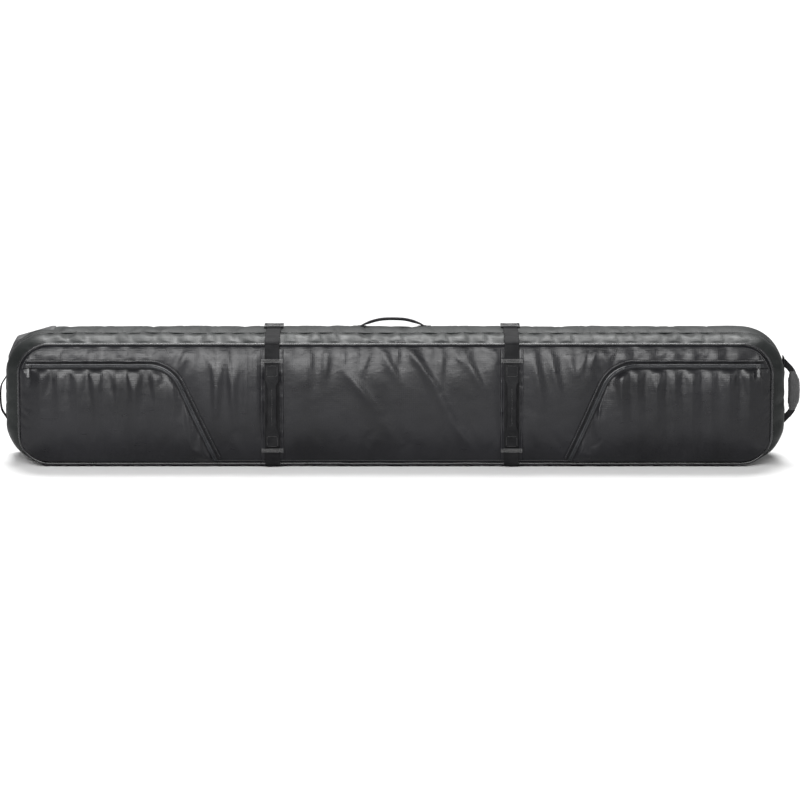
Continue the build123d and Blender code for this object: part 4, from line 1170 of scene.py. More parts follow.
for side, outward in (("left", -1), ("right", 1)):
    make_slider(f"{side}_main_zip_slider", f"{side}_main_slider", f"{side}_main_slider",
                (outward, 0, 0), (0, outward, 0), (0, 0, 1))
    low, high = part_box(f"{side}_main_pull")
    start_x = high[0] if outward < 0 else low[0]
    make_pull(f"{side}_main_zip_pull", f"{side}_main_pull", f"{side}_main_pull",
              (start_x, (low[1] + high[1]) / 2, (low[2] + high[2]) / 2),
              (outward, 0, 0), (0, outward, 0), (0, 0, 1))
    make_slider(f"{side}_pocket_zip_slider", f"{side}_pocket_slider", f"{side}_pocket_slider",
                (outward, 0, 0), (0, 0, -outward), (0, -1, 0))
    low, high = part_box(f"{side}_pocket_pull")
    make_pull(f"{side}_pocket_zip_pull", f"{side}_pocket_pull", f"{side}_pocket_pull",
              ((low[0] + high[0]) / 2, (low[1] + high[1]) / 2 - PULL_TO_BRIDGE, high[2]),
              (0, -math.sin(PULL_LEAN), -math.cos(PULL_LEAN)), (1, 0, 0),
              (0, -math.cos(PULL_LEAN), math.sin(PULL_LEAN)))

# ---- cover pockets ---------------------------------------------------------------------------


def strip_on_cover(name, line, offsets, heights, base, material, slot, thickness=0.0008):
    """A strip along an (x, z) line: each offset across it stands a height off the base."""
    tangent = unit(np.gradient(line, axis=0))
    across = np.stack([tangent[:, 1], -tangent[:, 0]], 1)
    rows = []
    for offset, height in zip(offsets, heights):
        xz = line + across * offset
        y = base(xz[:, 0], xz[:, 1]) - height
        rows.append(np.stack([xz[:, 0], y, xz[:, 1]], 1))
    made = piece(name, np.vstack(rows), grid_faces(len(offsets), len(line)), material, None, slot)
    thicken(made, thickness)
    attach(made, "cover")
    return made


def top_of_pocket(side, x):
    """Upper edge of the pocket panel at x, under the edge of its zip."""
    line = offset_line(POCKET_LINES[side], ZIP_HALF - 0.0016)
    order = np.argsort(line[:, 0])
    return np.interp(x, line[order, 0], line[order, 1])


def make_pocket(side):
    sign = -1 if side == "left" else 1
    foot_x = min(abs(POCKET_LINES[side][:, 0])) + 0.003
    x = sign * np.linspace(foot_x, COVER_HALF - 0.004, 110)
    t = np.linspace(0, 1, 42)
    low, _ = cover_limits(x)
    low = low + 0.0045
    top = np.maximum(top_of_pocket(side, x), low + 0.001)
    top = np.minimum(top, cover_limits(x)[1] - 0.004)
    z = low[:, None] + (top - low)[:, None] * t[None]
    x_grid = np.broadcast_to(x[:, None], z.shape)
    below_zip = top[:, None] - z
    above_foot = z - low[:, None]
    end = np.clip(COVER_HALF - 0.004 - np.abs(x_grid), 0, None)
    edge = np.minimum(np.minimum(below_zip, above_foot), end)
    free = 1 - np.exp(-edge / 0.010)
    seed = 70 if side == "left" else 80
    gather = ripple(x_grid + 0.12 * sign * below_zip, 0.021, seed) * np.exp(-below_zip / 0.055)
    pleats = triangles(x_grid, np.clip(below_zip / 0.085, 0, 1), 0.040, seed + 1)
    pleats += 0.7 * triangles(x_grid + 0.01, np.clip(below_zip / 0.15, 0, 1), 0.066, seed + 3)
    hem = ripple(x_grid, 0.026, seed + 2) * np.exp(-above_foot / 0.03)
    relief = 0.0014 * gather + 0.0085 * pleats * np.exp(-below_zip / 0.10) + 0.0016 * hem
    belly = 0.0045 * np.sin(np.pi * np.clip(t, 0, 1))[None] ** 0.8
    base = cover_base(x_grid, z)
    y = base - 0.0022 - (relief + belly) * free
    grid = np.stack([x_grid, y, z], 2)
    made = piece(f"{side}_pocket_shell", grid.reshape(-1, 3), grid_faces(*z.shape), "front", None,
                 "front_fabric")
    held = np.zeros(z.shape)
    held[0] = held[-1] = 1
    held[:, :2] = held[:, -2:] = 1
    settle(made, held.ravel(), grow=0.010, pressure=-0.8 if not faces_out(made) else 0.8, cap=0.004)
    where = coordinates(made).reshape(*z.shape, 3)
    where[:, :, 1] = room_for_pull(side, *np.moveaxis(where, 2, 0))
    under = cover_y(where[:, :, 0], where[:, :, 2]) - 0.0012
    where[:, :, 1] = np.minimum(where[:, :, 1], under)
    set_coordinates(made, where.reshape(-1, 3))
    thicken(made, 0.0009)
    subdivide(made)
    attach(made, "cover")
    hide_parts(f"{side}_pocket_panel")


def zip_base(x, z):
    """Depth of the cover under a pocket zip's film, with the channel for its slider."""
    return room_for_sliders(cover_y(x, z) - FILM_STANDS, x, z, SLIDER_TO_FILM)


for side in SIDES:
    make_pocket(side)
    line = POCKET_LINES[side]
    line = line[line[:, 1] > COVER_LOW + 0.008]
    wobble = ripple(np.arange(len(line)) * 0.003, 0.05, 91)[:, None] * 0.0006
    line = line + wobble * (0, 1)
    made = strip_on_cover(
        f"{side}_pocket_zip_film", line,
        np.array([-4.4, -4.2, -3.8, -3.0, -1.1, -0.35, 0.0, 0.35, 1.1, 3.0, 3.8, 4.2, 4.4]) / 1000,
        np.array([-1.8, -0.4, 0.1, 0.4, 0.7, 0.5, -0.5, 0.5, 0.7, 0.4, 0.1, -0.4, -1.8]) / 1000,
        zip_base, "zip_film", "zip_film")
    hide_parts(f"{side}_pocket_zip")
    strip_on_cover(f"{side}_pocket_zip_bed", line,
                   np.array([-9.6, -9.0, -7.0, 0.0, 7.0, 9.0, 9.6]) / 1000,
                   np.array([-2.6, -0.7, -0.9, -0.9, -0.9, -0.7, -2.6]) / 1000,
                   zip_base, "zip_tape", "zip_tape")
    lip = offset_line(line, -0.0104)
    lip = lip[lip[:, 1] > COVER_LOW + 0.010]
    strip_on_cover(f"{side}_pocket_welt", lip,
                   np.array([-2.9, -2.5, -1.2, 0.4, 1.8, 2.5, 2.9]) / 1000,
                   np.array([-2.4, -0.1, 1.2, 1.7, 1.2, -0.1, -2.4]) / 1000,
                   zip_base, "front", "front_fabric")
    beside = offset_line(line, -0.0122)
    beside = beside[beside[:, 1] > COVER_LOW + 0.014]
    surface = cover_y(beside[:, 0], beside[:, 1]) - 0.0042
    rows = [stitches(np.stack([beside[:, 0], surface, beside[:, 1]], 1), (0, -1, 0))]
    outer = -1 if side == "left" else 1
    x0, z0 = POCKET_CORNERS[side] + outer * 0.011, COVER_HIGH - 0.006
    x1, z1 = POCKET_CORNERS[side] - outer * 0.002, ZIP_Z + 0.011
    for shift in (-0.002, 0.002):
        t = np.linspace(0, 1, 12)
        xs, zs = x0 + (x1 - x0) * t + shift, z0 + (z1 - z0) * t
        rows.append(stitches(np.stack([xs, cover_y(xs, zs) - 0.0002, zs], 1), (0, -1, 0)))
    piece(f"{side}_pocket_stitching", *joined(rows), "thread", "cover", "webbing")

# ---- compression straps ----------------------------------------------------------------------

BUCKLE_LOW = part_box("left_buckle")[0]
strap_points = node_points("left_front_strap")
bar_points = strap_points[np.abs(strap_points[:, 0] - STRAP_X["left"]) > STRAP_WIDTH / 2 + 0.001, 2]
bar_middle = (bar_points.min() + bar_points.max()) / 2
BAR_Z = (bar_points[bar_points < bar_middle].mean(), bar_points[bar_points > bar_middle].mean())
BAR_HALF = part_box("left_front_strap")[1][0] - STRAP_X["left"] + 0.003


def zigzag(x0, x1, z0, z1, y, pitch=0.0012):
    """Dense to-and-fro thread filling a rectangle of the cover's plane."""
    count = int((x1 - x0) / pitch)
    points = [(x0 + (x1 - x0) * k / count, y, z0 if k % 2 else z1) for k in range(count + 1)]
    return tube(np.array(points), 0.00048, 6)


def make_placket(side):
    x0 = STRAP_X[side]
    z = np.linspace(COVER_LOW + 0.010, COVER_HIGH - 0.009, 110)
    u = np.linspace(-1, 1, 25)
    half = PLACKET_HALF * (1 + 0.02 * ripple(z, 0.03, 101))
    x = x0 + u[None] * half[:, None]
    z_grid = np.broadcast_to(z[:, None], x.shape)
    seed = 103 if side == "left" else 109
    out = np.abs(u)[None]
    crinkle = (ripple(z_grid + 0.3 * x, 0.012, seed) * 0.0010 + ripple(z_grid, 0.03, seed + 1)
               * 0.0012) * np.clip(out * 2.2 - 0.9, 0, 1)
    lip = 0.0022 * np.exp(-((out - 0.88) / 0.09) ** 2) * (0.75 + 0.4
                                                          * ripple(z_grid, 0.02, seed + 2))
    y = cover_y(x, z_grid) - 0.0012 - lip - crinkle
    y = np.where(out > 0.985, cover_y(x, z_grid) + 0.0002, y)
    made = piece(f"{side}_placket_fabric", np.stack([x, y, z_grid], 2).reshape(-1, 3),
                 grid_faces(*x.shape), "front", None, "front_fabric")
    thicken(made, 0.0008)
    subdivide(made)
    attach(made, "cover")
    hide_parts(f"{side}_placket")


def make_front_strap(side):
    x0 = STRAP_X[side]
    z = np.linspace(COVER_LOW + 0.004, COVER_HIGH - 0.002, 90)
    y = cover_y(np.full(len(z), x0), z) - 0.0030
    y = np.convolve(np.pad(y, 3, mode="edge"), np.ones(7) / 7, mode="valid")
    low_edge = [(x0, COVER_BACK_Y - 0.002, COVER_LOW - 0.0042),
                (x0, y[0] + 0.004, COVER_LOW - 0.0036)]
    high_edge = [(x0, y[-1] + 0.003, COVER_HIGH + 0.0030),
                 (x0, COVER_EDGE_Y + 0.001, COVER_HIGH + 0.0050)]
    path = np.vstack([low_edge, np.stack([np.full(len(z), x0), y, z], 1), high_edge])
    vertices, faces = swept(path, (1, 0, 0), STRAP_WIDTH, WEB, band_section())
    vertices[:, 2] = np.maximum(vertices[:, 2], 0.0006)
    made = piece(f"{side}_front_webbing", vertices, faces, "webbing", "cover", "webbing")
    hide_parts(f"{side}_front_strap")
    parts = []
    for bar_z in BAR_Z:
        level = float(cover_y(x0, bar_z)) - 0.0030 - 0.0034
        for k in range(3):
            z0 = bar_z - 0.0042 + 0.0029 * k
            parts.append(zigzag(x0 - BAR_HALF, x0 + BAR_HALF, z0, z0 + 0.0024, level))
    piece(f"{side}_bar_tacks", *joined(parts), "bar_thread", "cover", "webbing")


def make_grab_handle(side):
    x0 = STRAP_X[side]
    base = float(cover_y(x0, 0.13)) - 0.0045
    low, high = (corner[2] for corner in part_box(f"{side}_grab_handle"))
    points = [(x0, base + 0.0008, low), (x0, base, low + 0.012), (x0, base - 0.0030, low + 0.026),
              (x0, base - 0.0085, low + 0.050), (x0, base - 0.0105, low + 0.064),
              (x0, base - 0.0110, high - 0.080), (x0, base - 0.0095, high - 0.050),
              (x0, base - 0.0040, high - 0.026), (x0, base, high - 0.012),
              (x0, base + 0.0008, high)]
    path = smooth_path(points, 0.0035)
    z = path[:, 2]
    narrow = eased(np.clip(np.minimum((z - low - 0.028) / 0.022, (high - 0.030 - z) / 0.016), 0, 1))
    path[:, 0] += 0.0008 * ripple(z, 0.05, 121) * narrow
    widths = 0.0300 - 0.0100 * narrow
    thick = WEB + 0.0026 * narrow
    vertices, faces = swept(path, (1, 0, 0), widths, thick, band_section(1.05))
    made = piece(f"{side}_grab_webbing", vertices, faces, "webbing", "cover", "webbing")
    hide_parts(f"{side}_grab_handle")
    # the folded middle is closed by a lengthwise seam, and both ends are boxed
    inner = path[(narrow > 0.9)]
    seam = stitches(inner - (0, 0.0023, 0), (0, -1, 0), lift=0.0002)
    parts = [seam]
    for z0, z1 in ((low + 0.002, low + 0.024), (high - 0.024, high - 0.002)):
        corners = [(-0.011, z0), (0.011, z0), (0.011, z1), (-0.011, z1), (-0.011, z0)]
        for (ax, az), (bx, bz) in zip(corners, corners[1:]):
            t = np.linspace(0, 1, 8)[:, None]
            xs, zs = ax + (bx - ax) * t, az + (bz - az) * t
            ys = np.interp(zs, z, path[:, 1]) - WEB / 2 - 0.0002
            parts.append(stitches(np.hstack([x0 + xs, ys, zs]), (0, -1, 0), pitch=0.0032,
                                  length=0.0024))
    piece(f"{side}_grab_stitching", *joined(parts), "dark_thread", "cover", "webbing")


def make_top_strap(side):
    x0 = STRAP_X[side]
    edge_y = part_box(f"{side}_top_strap")[0][1]
    heights = []
    for y in np.linspace(-0.068, BUCKLE_LOW[1] - 0.004, 14):
        heights.append((x0, y, max(wall_top_z(x0, y) + 0.0022, WALL_TOP + 0.0012)))
    heights[0] = (x0, -0.070, WALL_TOP - 0.0015)
    bar = BUCKLE_LOW[2] + 0.0052
    ends = [(x0, edge_y - 0.0035, WALL_TOP - 0.0105), (x0, edge_y + 0.001, WALL_TOP - 0.0060),
            (x0, edge_y + 0.010, WALL_TOP - 0.0035)]
    over = [(x0, BUCKLE_LOW[1] + 0.004, bar + 0.0016), (x0, BUCKLE_LOW[1] + 0.011, bar - 0.002),
            (x0, BUCKLE_LOW[1] + 0.016, bar - 0.0036), (x0, BUCKLE_LOW[1] + 0.021, bar + 0.0005),
            (x0, BUCKLE_LOW[1] + 0.026, bar + 0.0012), (x0, BUCKLE_LOW[1] + 0.030, bar - 0.002)]
    path = smooth_path(ends + heights + over, 0.003)
    made = band(f"{side}_top_webbing", path, (1, 0, 0), STRAP_WIDTH, None)
    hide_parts(f"{side}_top_strap")
    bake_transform(made)


def make_buckle(side):
    """A ladder-lock buckle: two rails, three cross bars and the lifted rear lip."""
    low, high = (np.array(c) * 1000 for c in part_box(f"{side}_buckle"))
    x0 = STRAP_X[side] * 1000
    z0, top = low[2], high[2]
    rail = 3.6
    parts = []
    for sign in (-1, 1):
        edge = x0 + sign * (high[0] - low[0]) / 2
        line = smooth_path([(edge - sign * rail / 2, low[1] + 1, z0 + 2.6),
                            (edge - sign * rail / 2, low[1] + 12, z0 + 3.6),
                            (edge - sign * rail / 2, low[1] + 26, z0 + 3.4),
                            (edge - sign * rail / 2, high[1] - 6, z0 + 3.0),
                            (edge - sign * (rail / 2 + 1.2), high[1] - 0.6, z0 + 2.6)], 2.0)
        parts.append(swept(line, (1, 0, 0), np.linspace(rail, rail * 1.05, len(line)),
                           np.linspace(4.4, 5.2, len(line)), band_section(1.0)))
    half = (high[0] - low[0]) / 2 - 0.8
    for y, z, r in ((low[1] + 3.4, z0 + 5.8, 3.2), (low[1] + 19.5, z0 + 2.6, 2.0),
                    (low[1] + 31.5, z0 + 2.8, 2.2), (high[1] - 2.3, z0 + 3.2, 2.3)):
        bend = np.array([(x0 + t * half, y, z + 0.5 * (1 - t * t)) for t in np.linspace(-1, 1, 15)])
        parts.append(tube(bend, r, 14, up=(0, 0, 1)))
    lip = np.array([(x0 + t * half, high[1] - 4.5 - 3.0 * (1 - t * t), top - 0.7)
                    for t in np.linspace(-1, 1, 15)])
    parts.append(swept(lip, (0, 1, 0), 6.0, 1.5, band_section(1.0)))
    made = piece(f"{side}_ladder_lock", *scaled(joined(parts), 0.001), "buckle", f"{side}_release",
                 "buckle_plastic")
    made.data.set_sharp_from_angle(angle=math.radians(45))
    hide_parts(f"{side}_buckle")


def make_rear_strap(side):
    x0 = STRAP_X[side]
    low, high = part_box(f"{side}_rear_strap")
    catch_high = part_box(f"{side}_strap_catch")[1]
    rear = high[1] - WEB / 2
    points = [(x0, catch_high[1] + 0.0010, WALL_TOP + 0.0026),
              (x0, catch_high[1] + 0.006, WALL_TOP + 0.0018),
              (x0, rear - 0.007, WALL_TOP - 0.0035), (x0, rear - 0.0012, WALL_TOP - 0.010),
              (x0, rear, WALL_TOP - 0.030)]
    points += [(x0, rear + 0.0008 * math.sin(k), z) for k,
               z in enumerate(np.linspace(WALL_TOP - 0.045, 0.045, 9))]
    points += [(x0, rear - 0.0005, 0.020), (x0, rear - 0.006, 0.0075), (x0, rear - 0.016, 0.0028),
               (x0, rear - 0.030, 0.0013), (x0, 0.0, 0.0013), (x0, -0.045, 0.0013)]
    made = band(f"{side}_rear_webbing", smooth_path(points, 0.005), (1, 0, 0), STRAP_WIDTH, "root")
    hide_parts(f"{side}_rear_strap")


for side in SIDES:
    make_placket(side)
    make_front_strap(side)
    make_grab_handle(side)
    make_top_strap(side)
    make_buckle(side)
    make_rear_strap(side)

# ---- gusset seam and its stitches ------------------------------------------------------------


def make_gusset_seam():
    row = int(np.argmin(np.abs(WALL_DEPTHS - SEAM_Y)))
    ring = wall_shape[row]
    keep = ring[:, 2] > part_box("gusset_seam")[0][2] - 0.03
    run = open_run(ring, keep)
    tangent = unit(np.gradient(run, axis=0))
    away = unit(np.cross(tangent, np.broadcast_to((0.0, 1.0, 0.0), run.shape)))
    away *= np.sign((away * (run - (0, SEAM_Y, WALL_TOP / 2))).sum(1))[:, None]
    along = lengths(run)
    line = run + away * (0.0010 + 0.0002 * ripple(along, 0.02, 131))[:, None]
    vertices, faces = swept(line, (0, 1, 0), 0.0046, 0.0016, band_section(1.0))
    made = piece("gusset_seam_fell", vertices, faces, "shell", "root", "shell_fabric")
    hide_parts("gusset_seam")
    rows = []
    for shift in (-0.0066, 0.0066):
        beside = int(np.argmin(np.abs(WALL_DEPTHS - SEAM_Y - shift)))
        path = open_run(wall_shape[beside], keep)
        path = path + away[:len(path)] * 0.0001
        rows.append(stitches(path, away[:len(path)]))
    piece("gusset_stitching", *joined(rows), "thread", "root", "webbing")


make_gusset_seam()

# ---- back ------------------------------------------------------------------------------------


def panel_grid(values, y, spacing, bulge):
    """A rounded-corner panel as a grid in X columns, bulged by bulge(x, z) metres along +Y."""
    half, low, high, radius = values
    turn = np.radians(np.linspace(0, 90, 10))[1:]
    corner = half - radius + radius * np.sin(turn)
    straight = np.linspace(-half + radius, half - radius, int(2 * (half - radius) / spacing))
    x = np.concatenate([-corner[::-1], straight, corner])
    t = np.linspace(0, 1, int((high - low) / spacing) + 1)
    over = np.clip(np.abs(x) - (half - radius), 0, radius)
    rise = radius - np.sqrt(np.maximum(radius**2 - over**2, 0))
    z = (low + rise)[:, None] + (high - low - 2 * rise)[:, None] * t[None]
    x_grid = np.broadcast_to(x[:, None], z.shape)
    edge = np.minimum(np.minimum(z - (low + rise)[:, None], (high - rise)[:, None] - z),
                      half - np.abs(x_grid))
    free = 1 - np.exp(-np.clip(edge, 0, None) / 0.012)
    return np.stack([x_grid, y + bulge(x_grid, z) * free, z], 2)


def back_bulge(x, z):
    return (0.0016 + 0.0012 * ripple(x + 0.4 * z, 0.14, 141)
            + 0.0007 * ripple(z * 1.7 - x, 0.05, 143))


BACK_INSET, BACK_CORNER = 0.0022, 0.073  # from the rear piping's middle, and the corner's radius


def make_back():
    values = (REAR_OUTLINE[0] - BACK_INSET, REAR_OUTLINE[1] + BACK_INSET,
              REAR_OUTLINE[2] - BACK_INSET, BACK_CORNER)
    grid = panel_grid(values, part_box("back_panel")[1][1], 0.009, back_bulge)
    vertices, faces, used = clear_of_housing(grid)
    made = piece("back_shell", vertices, faces, "shell", None, "shell_fabric")
    held = np.zeros(grid.shape[:2])
    held[0] = held[-1] = 1
    held[:, 0] = held[:, -1] = 1
    held[grid[:, :, 0] < HOUSING_X + 0.008] = 1
    for strap_x in STRAP_X.values():
        held[np.abs(grid[:, :, 0] - strap_x) < STRAP_WIDTH / 2] = 1
    settle(made, held.ravel()[used], grow=0.006, pressure=0.5, cap=0.003)
    where = coordinates(made)
    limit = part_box("left_rear_strap")[1][1] - 0.0026
    where[:, 1] = np.clip(where[:, 1], REAR_Y + 0.001, limit)
    set_coordinates(made, where)
    thicken(made, 0.002)
    subdivide(made)
    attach(made, "root")
    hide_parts("back_panel")


make_back()

# ---- inside: quilted linings -----------------------------------------------------------------

QUILT_DEPTH = 0.0022
BACK_LINING_CORNER, COVER_LINING_CORNER = 0.062, 0.05
# insets of the wall lining from the wall's outline: its outer face at the mouth and behind it,
# which is further in because the shell has its dips there, and its inner face
LINING_AT_MOUTH, LINING_BEHIND, LINING_INNER = 0.0040, 0.0062, 0.0092
BEHIND_MOUTH = 0.004


def quilt(x, z, spacing=0.085, depth=QUILT_DEPTH):
    """Crossed sewn channels: negative along the lines of stitching."""
    a = (x + z) / spacing * math.sqrt(0.5)
    b = (x - z) / spacing * math.sqrt(0.5)
    near = np.minimum(np.abs(a - np.round(a)), np.abs(b - np.round(b)))
    return depth * (1 - np.exp(-(near / 0.09) ** 1.2))


def make_back_lining():
    low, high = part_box("back_lining")
    values = (high[0], low[2], high[2], BACK_LINING_CORNER)
    face_y = low[1]
    grid = panel_grid(values, face_y, 0.008, lambda x, z: -quilt(x, z))
    vertices, faces, _ = clear_of_housing(grid)
    made = piece("quilted_back_lining", vertices, faces, "lining", None, "lining")
    thicken(made, 0.0045)
    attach(made, "root")
    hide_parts("back_lining", "back_padding")


def make_cover_lining():
    low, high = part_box("front_lining")
    values = (high[0] + 0.004, low[2] - 0.006, high[2] + 0.006, COVER_LINING_CORNER)
    grid = panel_grid(values, COVER_BACK_Y - 0.0002, 0.008, lambda x, z: 0.0006 + quilt(x, z))
    made = piece("quilted_cover_lining", grid.reshape(-1, 3), grid_faces(*grid.shape[:2]), "lining",
                 None, "lining")
    if made.data.polygons[0].normal[1] < 0:
        made.data.flip_normals()
    solidify = made.modifiers.new("Solidify", "SOLIDIFY")
    solidify.thickness = 0.0015
    apply_modifiers(made)
    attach(made, "cover")
    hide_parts("front_lining")


def make_wall_lining():
    """Foam and lining of the side wall, one quilted band inside the shell."""
    inside = np.clip((WALL_DEPTHS - WALL_DEPTHS[0]) / BEHIND_MOUTH, 0, 1)[:, None, None]
    grid = wall_grid(LINING_AT_MOUTH) * (1 - inside) + wall_grid(LINING_BEHIND) * inside
    inner = wall_grid(LINING_INNER)
    along = lengths(inner[12])
    inward = unit(inner - grid)
    depth = WALL_DEPTHS[:, None] - MOUTH_Y
    puff = quilt(*np.broadcast_arrays(along[None], depth))
    inner = inner + inward * (puff - QUILT_DEPTH)[:, :, None]
    inner[0, :, 1] += 0.0008
    stop = int(np.searchsorted(WALL_DEPTHS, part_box("back_lining")[0][1]))
    both = np.concatenate([grid[:stop], inner[:stop][::-1]])
    vertices, faces, _ = clear_of_housing(both, wrap_rows=True, wrap_columns=True)
    made = piece("quilted_wall_lining", vertices, faces, "lining", "root", "lining")
    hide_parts("wall_lining", "wall_padding")


make_back_lining()
make_cover_lining()
make_wall_lining()

# ---- handles ---------------------------------------------------------------------------------


def make_top_handle():
    low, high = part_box("top_handle")
    middle_x, y = (low[0] + high[0]) / 2, (low[1] + high[1]) / 2
    half = (high[0] - low[0]) / 2
    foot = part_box("top_handle_anchors")[1][2]
    top = high[2] - 0.0024
    points = [(-1.02, foot + 0.0008), (-0.93, foot + 0.0014), (-0.80, foot + 0.0062),
              (-0.56, top - 0.0050),
              (-0.30, top - 0.0010), (0.02, top), (0.36, top - 0.0012), (0.62, top - 0.0055),
              (0.84, foot + 0.0062), (0.94, foot + 0.0016), (1.02, foot + 0.0008)]
    path = smooth_path([(middle_x + half * u, y, z) for u, z in points], 0.003)
    u = np.abs(path[:, 0] - middle_x) / half
    folded = eased(np.clip((0.86 - u) / 0.25, 0, 1))
    widths = 0.0200 - 0.0085 * folded
    thick = 0.0018 + 0.0032 * folded
    made = piece("carry_handle", *swept(path, (0, 1, 0), widths, thick, band_section(1.05)),
                 "webbing",
                 None, "webbing")
    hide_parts("top_handle")
    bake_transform(made)
    parts = []
    for sign in (-1, 1):
        centre = middle_x + sign * (half - 0.008)
        parts += boxed_cross((centre, y, foot + 0.0001), (1, 0, 0), (0, 1, 0), (0, 0, 1), 0.010,
                             0.012)
    piece("carry_handle_stitching", *joined(parts), "thread", "root", "webbing")


def boxed_cross(centre, u, v, w, half_u, half_v):
    """Stitches in a box with a cross in it."""
    centre, u, v, w = (np.array(a, float) for a in (centre, u, v, w))
    corners = [(-1, -1), (1, -1), (1, 1), (-1, 1), (-1, -1), (1, 1)]
    lines = list(zip(corners, corners[1:])) + [((-1, 1), (1, -1))]
    parts = []
    for (a, b), (c, d) in lines:
        start = centre + u * a * half_u + v * b * half_v
        stop = centre + u * c * half_u + v * d * half_v
        path = start + (stop - start) * np.linspace(0, 1, 8)[:, None]
        parts.append(stitches(path, w, pitch=0.0032, length=0.0024))
    return parts


HAUL_MIDDLE_Z, TOW_MIDDLE_Z = 0.137, 0.151  # heights where the two end loops stand furthest out


def make_haul_loop():
    low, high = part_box("haul_loop")
    near, far = high[0] - 0.001, low[0] + 0.0013
    points = [(near + 0.0035, high[2] - 0.003), (near - 0.0005, high[2] - 0.012),
              (far + 0.0035, high[2] - 0.027),
              (far + 0.0006, high[2] - 0.041), (far, HAUL_MIDDLE_Z), (far + 0.0008, low[2] + 0.040),
              (far + 0.0040, low[2] + 0.026), (near - 0.0005, low[2] + 0.012),
              (near + 0.0035, low[2] + 0.003)]
    path = smooth_path([(x, 0.0, z) for x, z in points], 0.003)
    z = path[:, 2]
    t = (z - low[2]) / (high[2] - low[2])
    folded = np.sin(np.pi * np.clip(t, 0, 1)) ** 0.6
    made = piece("haul_webbing",
                 *swept(path, (0, 1, 0), 0.016 - 0.003 * folded, 0.0018 + 0.0014 * folded,
                                        band_section(1.05)), "webbing", None, "webbing")
    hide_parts("haul_loop")
    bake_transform(made)


def make_tow_handle():
    low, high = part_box("tow_strap")
    grip_low, grip_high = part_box("tow_grip")
    middle = (grip_low[0] + grip_high[0]) / 2
    near = low[0] + 0.002
    points = [(near - 0.0045, high[2] - 0.001), (near + 0.004, high[2] - 0.010),
              (near + 0.0125, high[2] - 0.019),
              (middle - 0.0012, high[2] - 0.034), (middle, TOW_MIDDLE_Z),
              (middle - 0.0012, low[2] + 0.034),
              (near + 0.0125, low[2] + 0.019), (near + 0.004, low[2] + 0.010),
              (near - 0.0045, low[2] + 0.001)]
    path = smooth_path([(x, 0.0, z) for x, z in points], 0.003)
    made = piece("tow_webbing", *swept(path, (0, 1, 0), 0.0046, 0.0125, band_section(1.05)),
                 "webbing", None,
                 "webbing")
    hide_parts("tow_strap")
    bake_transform(made)
    # the padded sleeve, with a stepped collar at each end
    z = np.array([0.0, 0.6, 1.2, 5.5, 6.2, 7.0, 13.0, 14.0, 15.2, 22, 32, 43, 54, 64, 70.8, 72, 73,
                  79,
                  79.8, 80.5, 84.8, 85.4, 86.0]) / 1000 + grip_low[2]
    x_half = np.array([2, 6.4, 7.2, 7.4, 7.8, 9.2, 10.0, 10.4, 12.0, 12.8, 13.0, 13.0, 13.0, 12.8,
                       12.0,
                       10.6, 10.0, 9.2, 8.0, 7.4, 7.2, 6.4, 2]) / 1000
    y_half = x_half * 0.70
    turn = np.linspace(0, 2 * math.pi, 40, endpoint=False)
    squareness = 0.82
    wave = [np.sign(a) * np.abs(a) ** squareness for a in (np.cos(turn), np.sin(turn))]
    lean = -0.004 * np.clip(np.abs((z - z.mean()) / (z[-1] - z.mean())), 0, 1) ** 2
    ring = np.stack([middle + lean[:, None] + x_half[:, None] * wave[0][None],
                     y_half[:, None] * wave[1][None], np.broadcast_to(z[:, None], (len(z), 40))], 2)
    faces = grid_faces(len(z), 40, wrap_columns=True)
    faces += [list(range(40))[::-1], [(len(z) - 1) * 40 + k for k in range(40)]]
    made = piece("tow_grip_sleeve", ring.reshape(-1, 3), faces, "grip", "tow_handle", "grip")
    subdivide(made)
    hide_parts("tow_grip")
    seam = np.stack([np.full(30, middle), np.full(30, -0.0094), np.linspace(z[8], z[14], 30)], 1)
    piece("tow_grip_seam", *stitches(seam, (0, -1, 0)), "thread", "tow_handle", "webbing")


def make_patches():
    parts = []
    for sign, node in ((-1, "haul_loop"), (1, "tow_strap")):
        low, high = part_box(node)
        for level in (low[2] + 0.004, high[2] - 0.004):
            parts += boxed_cross((sign * (WALL_HALF + 0.0023), -0.002, level), (0, 1, 0), (0, 0, 1),
                                 (sign, 0, 0), 0.011, 0.011)
    piece("end_patch_stitching", *joined(parts), "thread", "root", "webbing")


make_top_handle()
make_haul_loop()
make_tow_handle()
make_patches()

# ---- wheels and the CAD pieces that stay -----------------------------------------------------


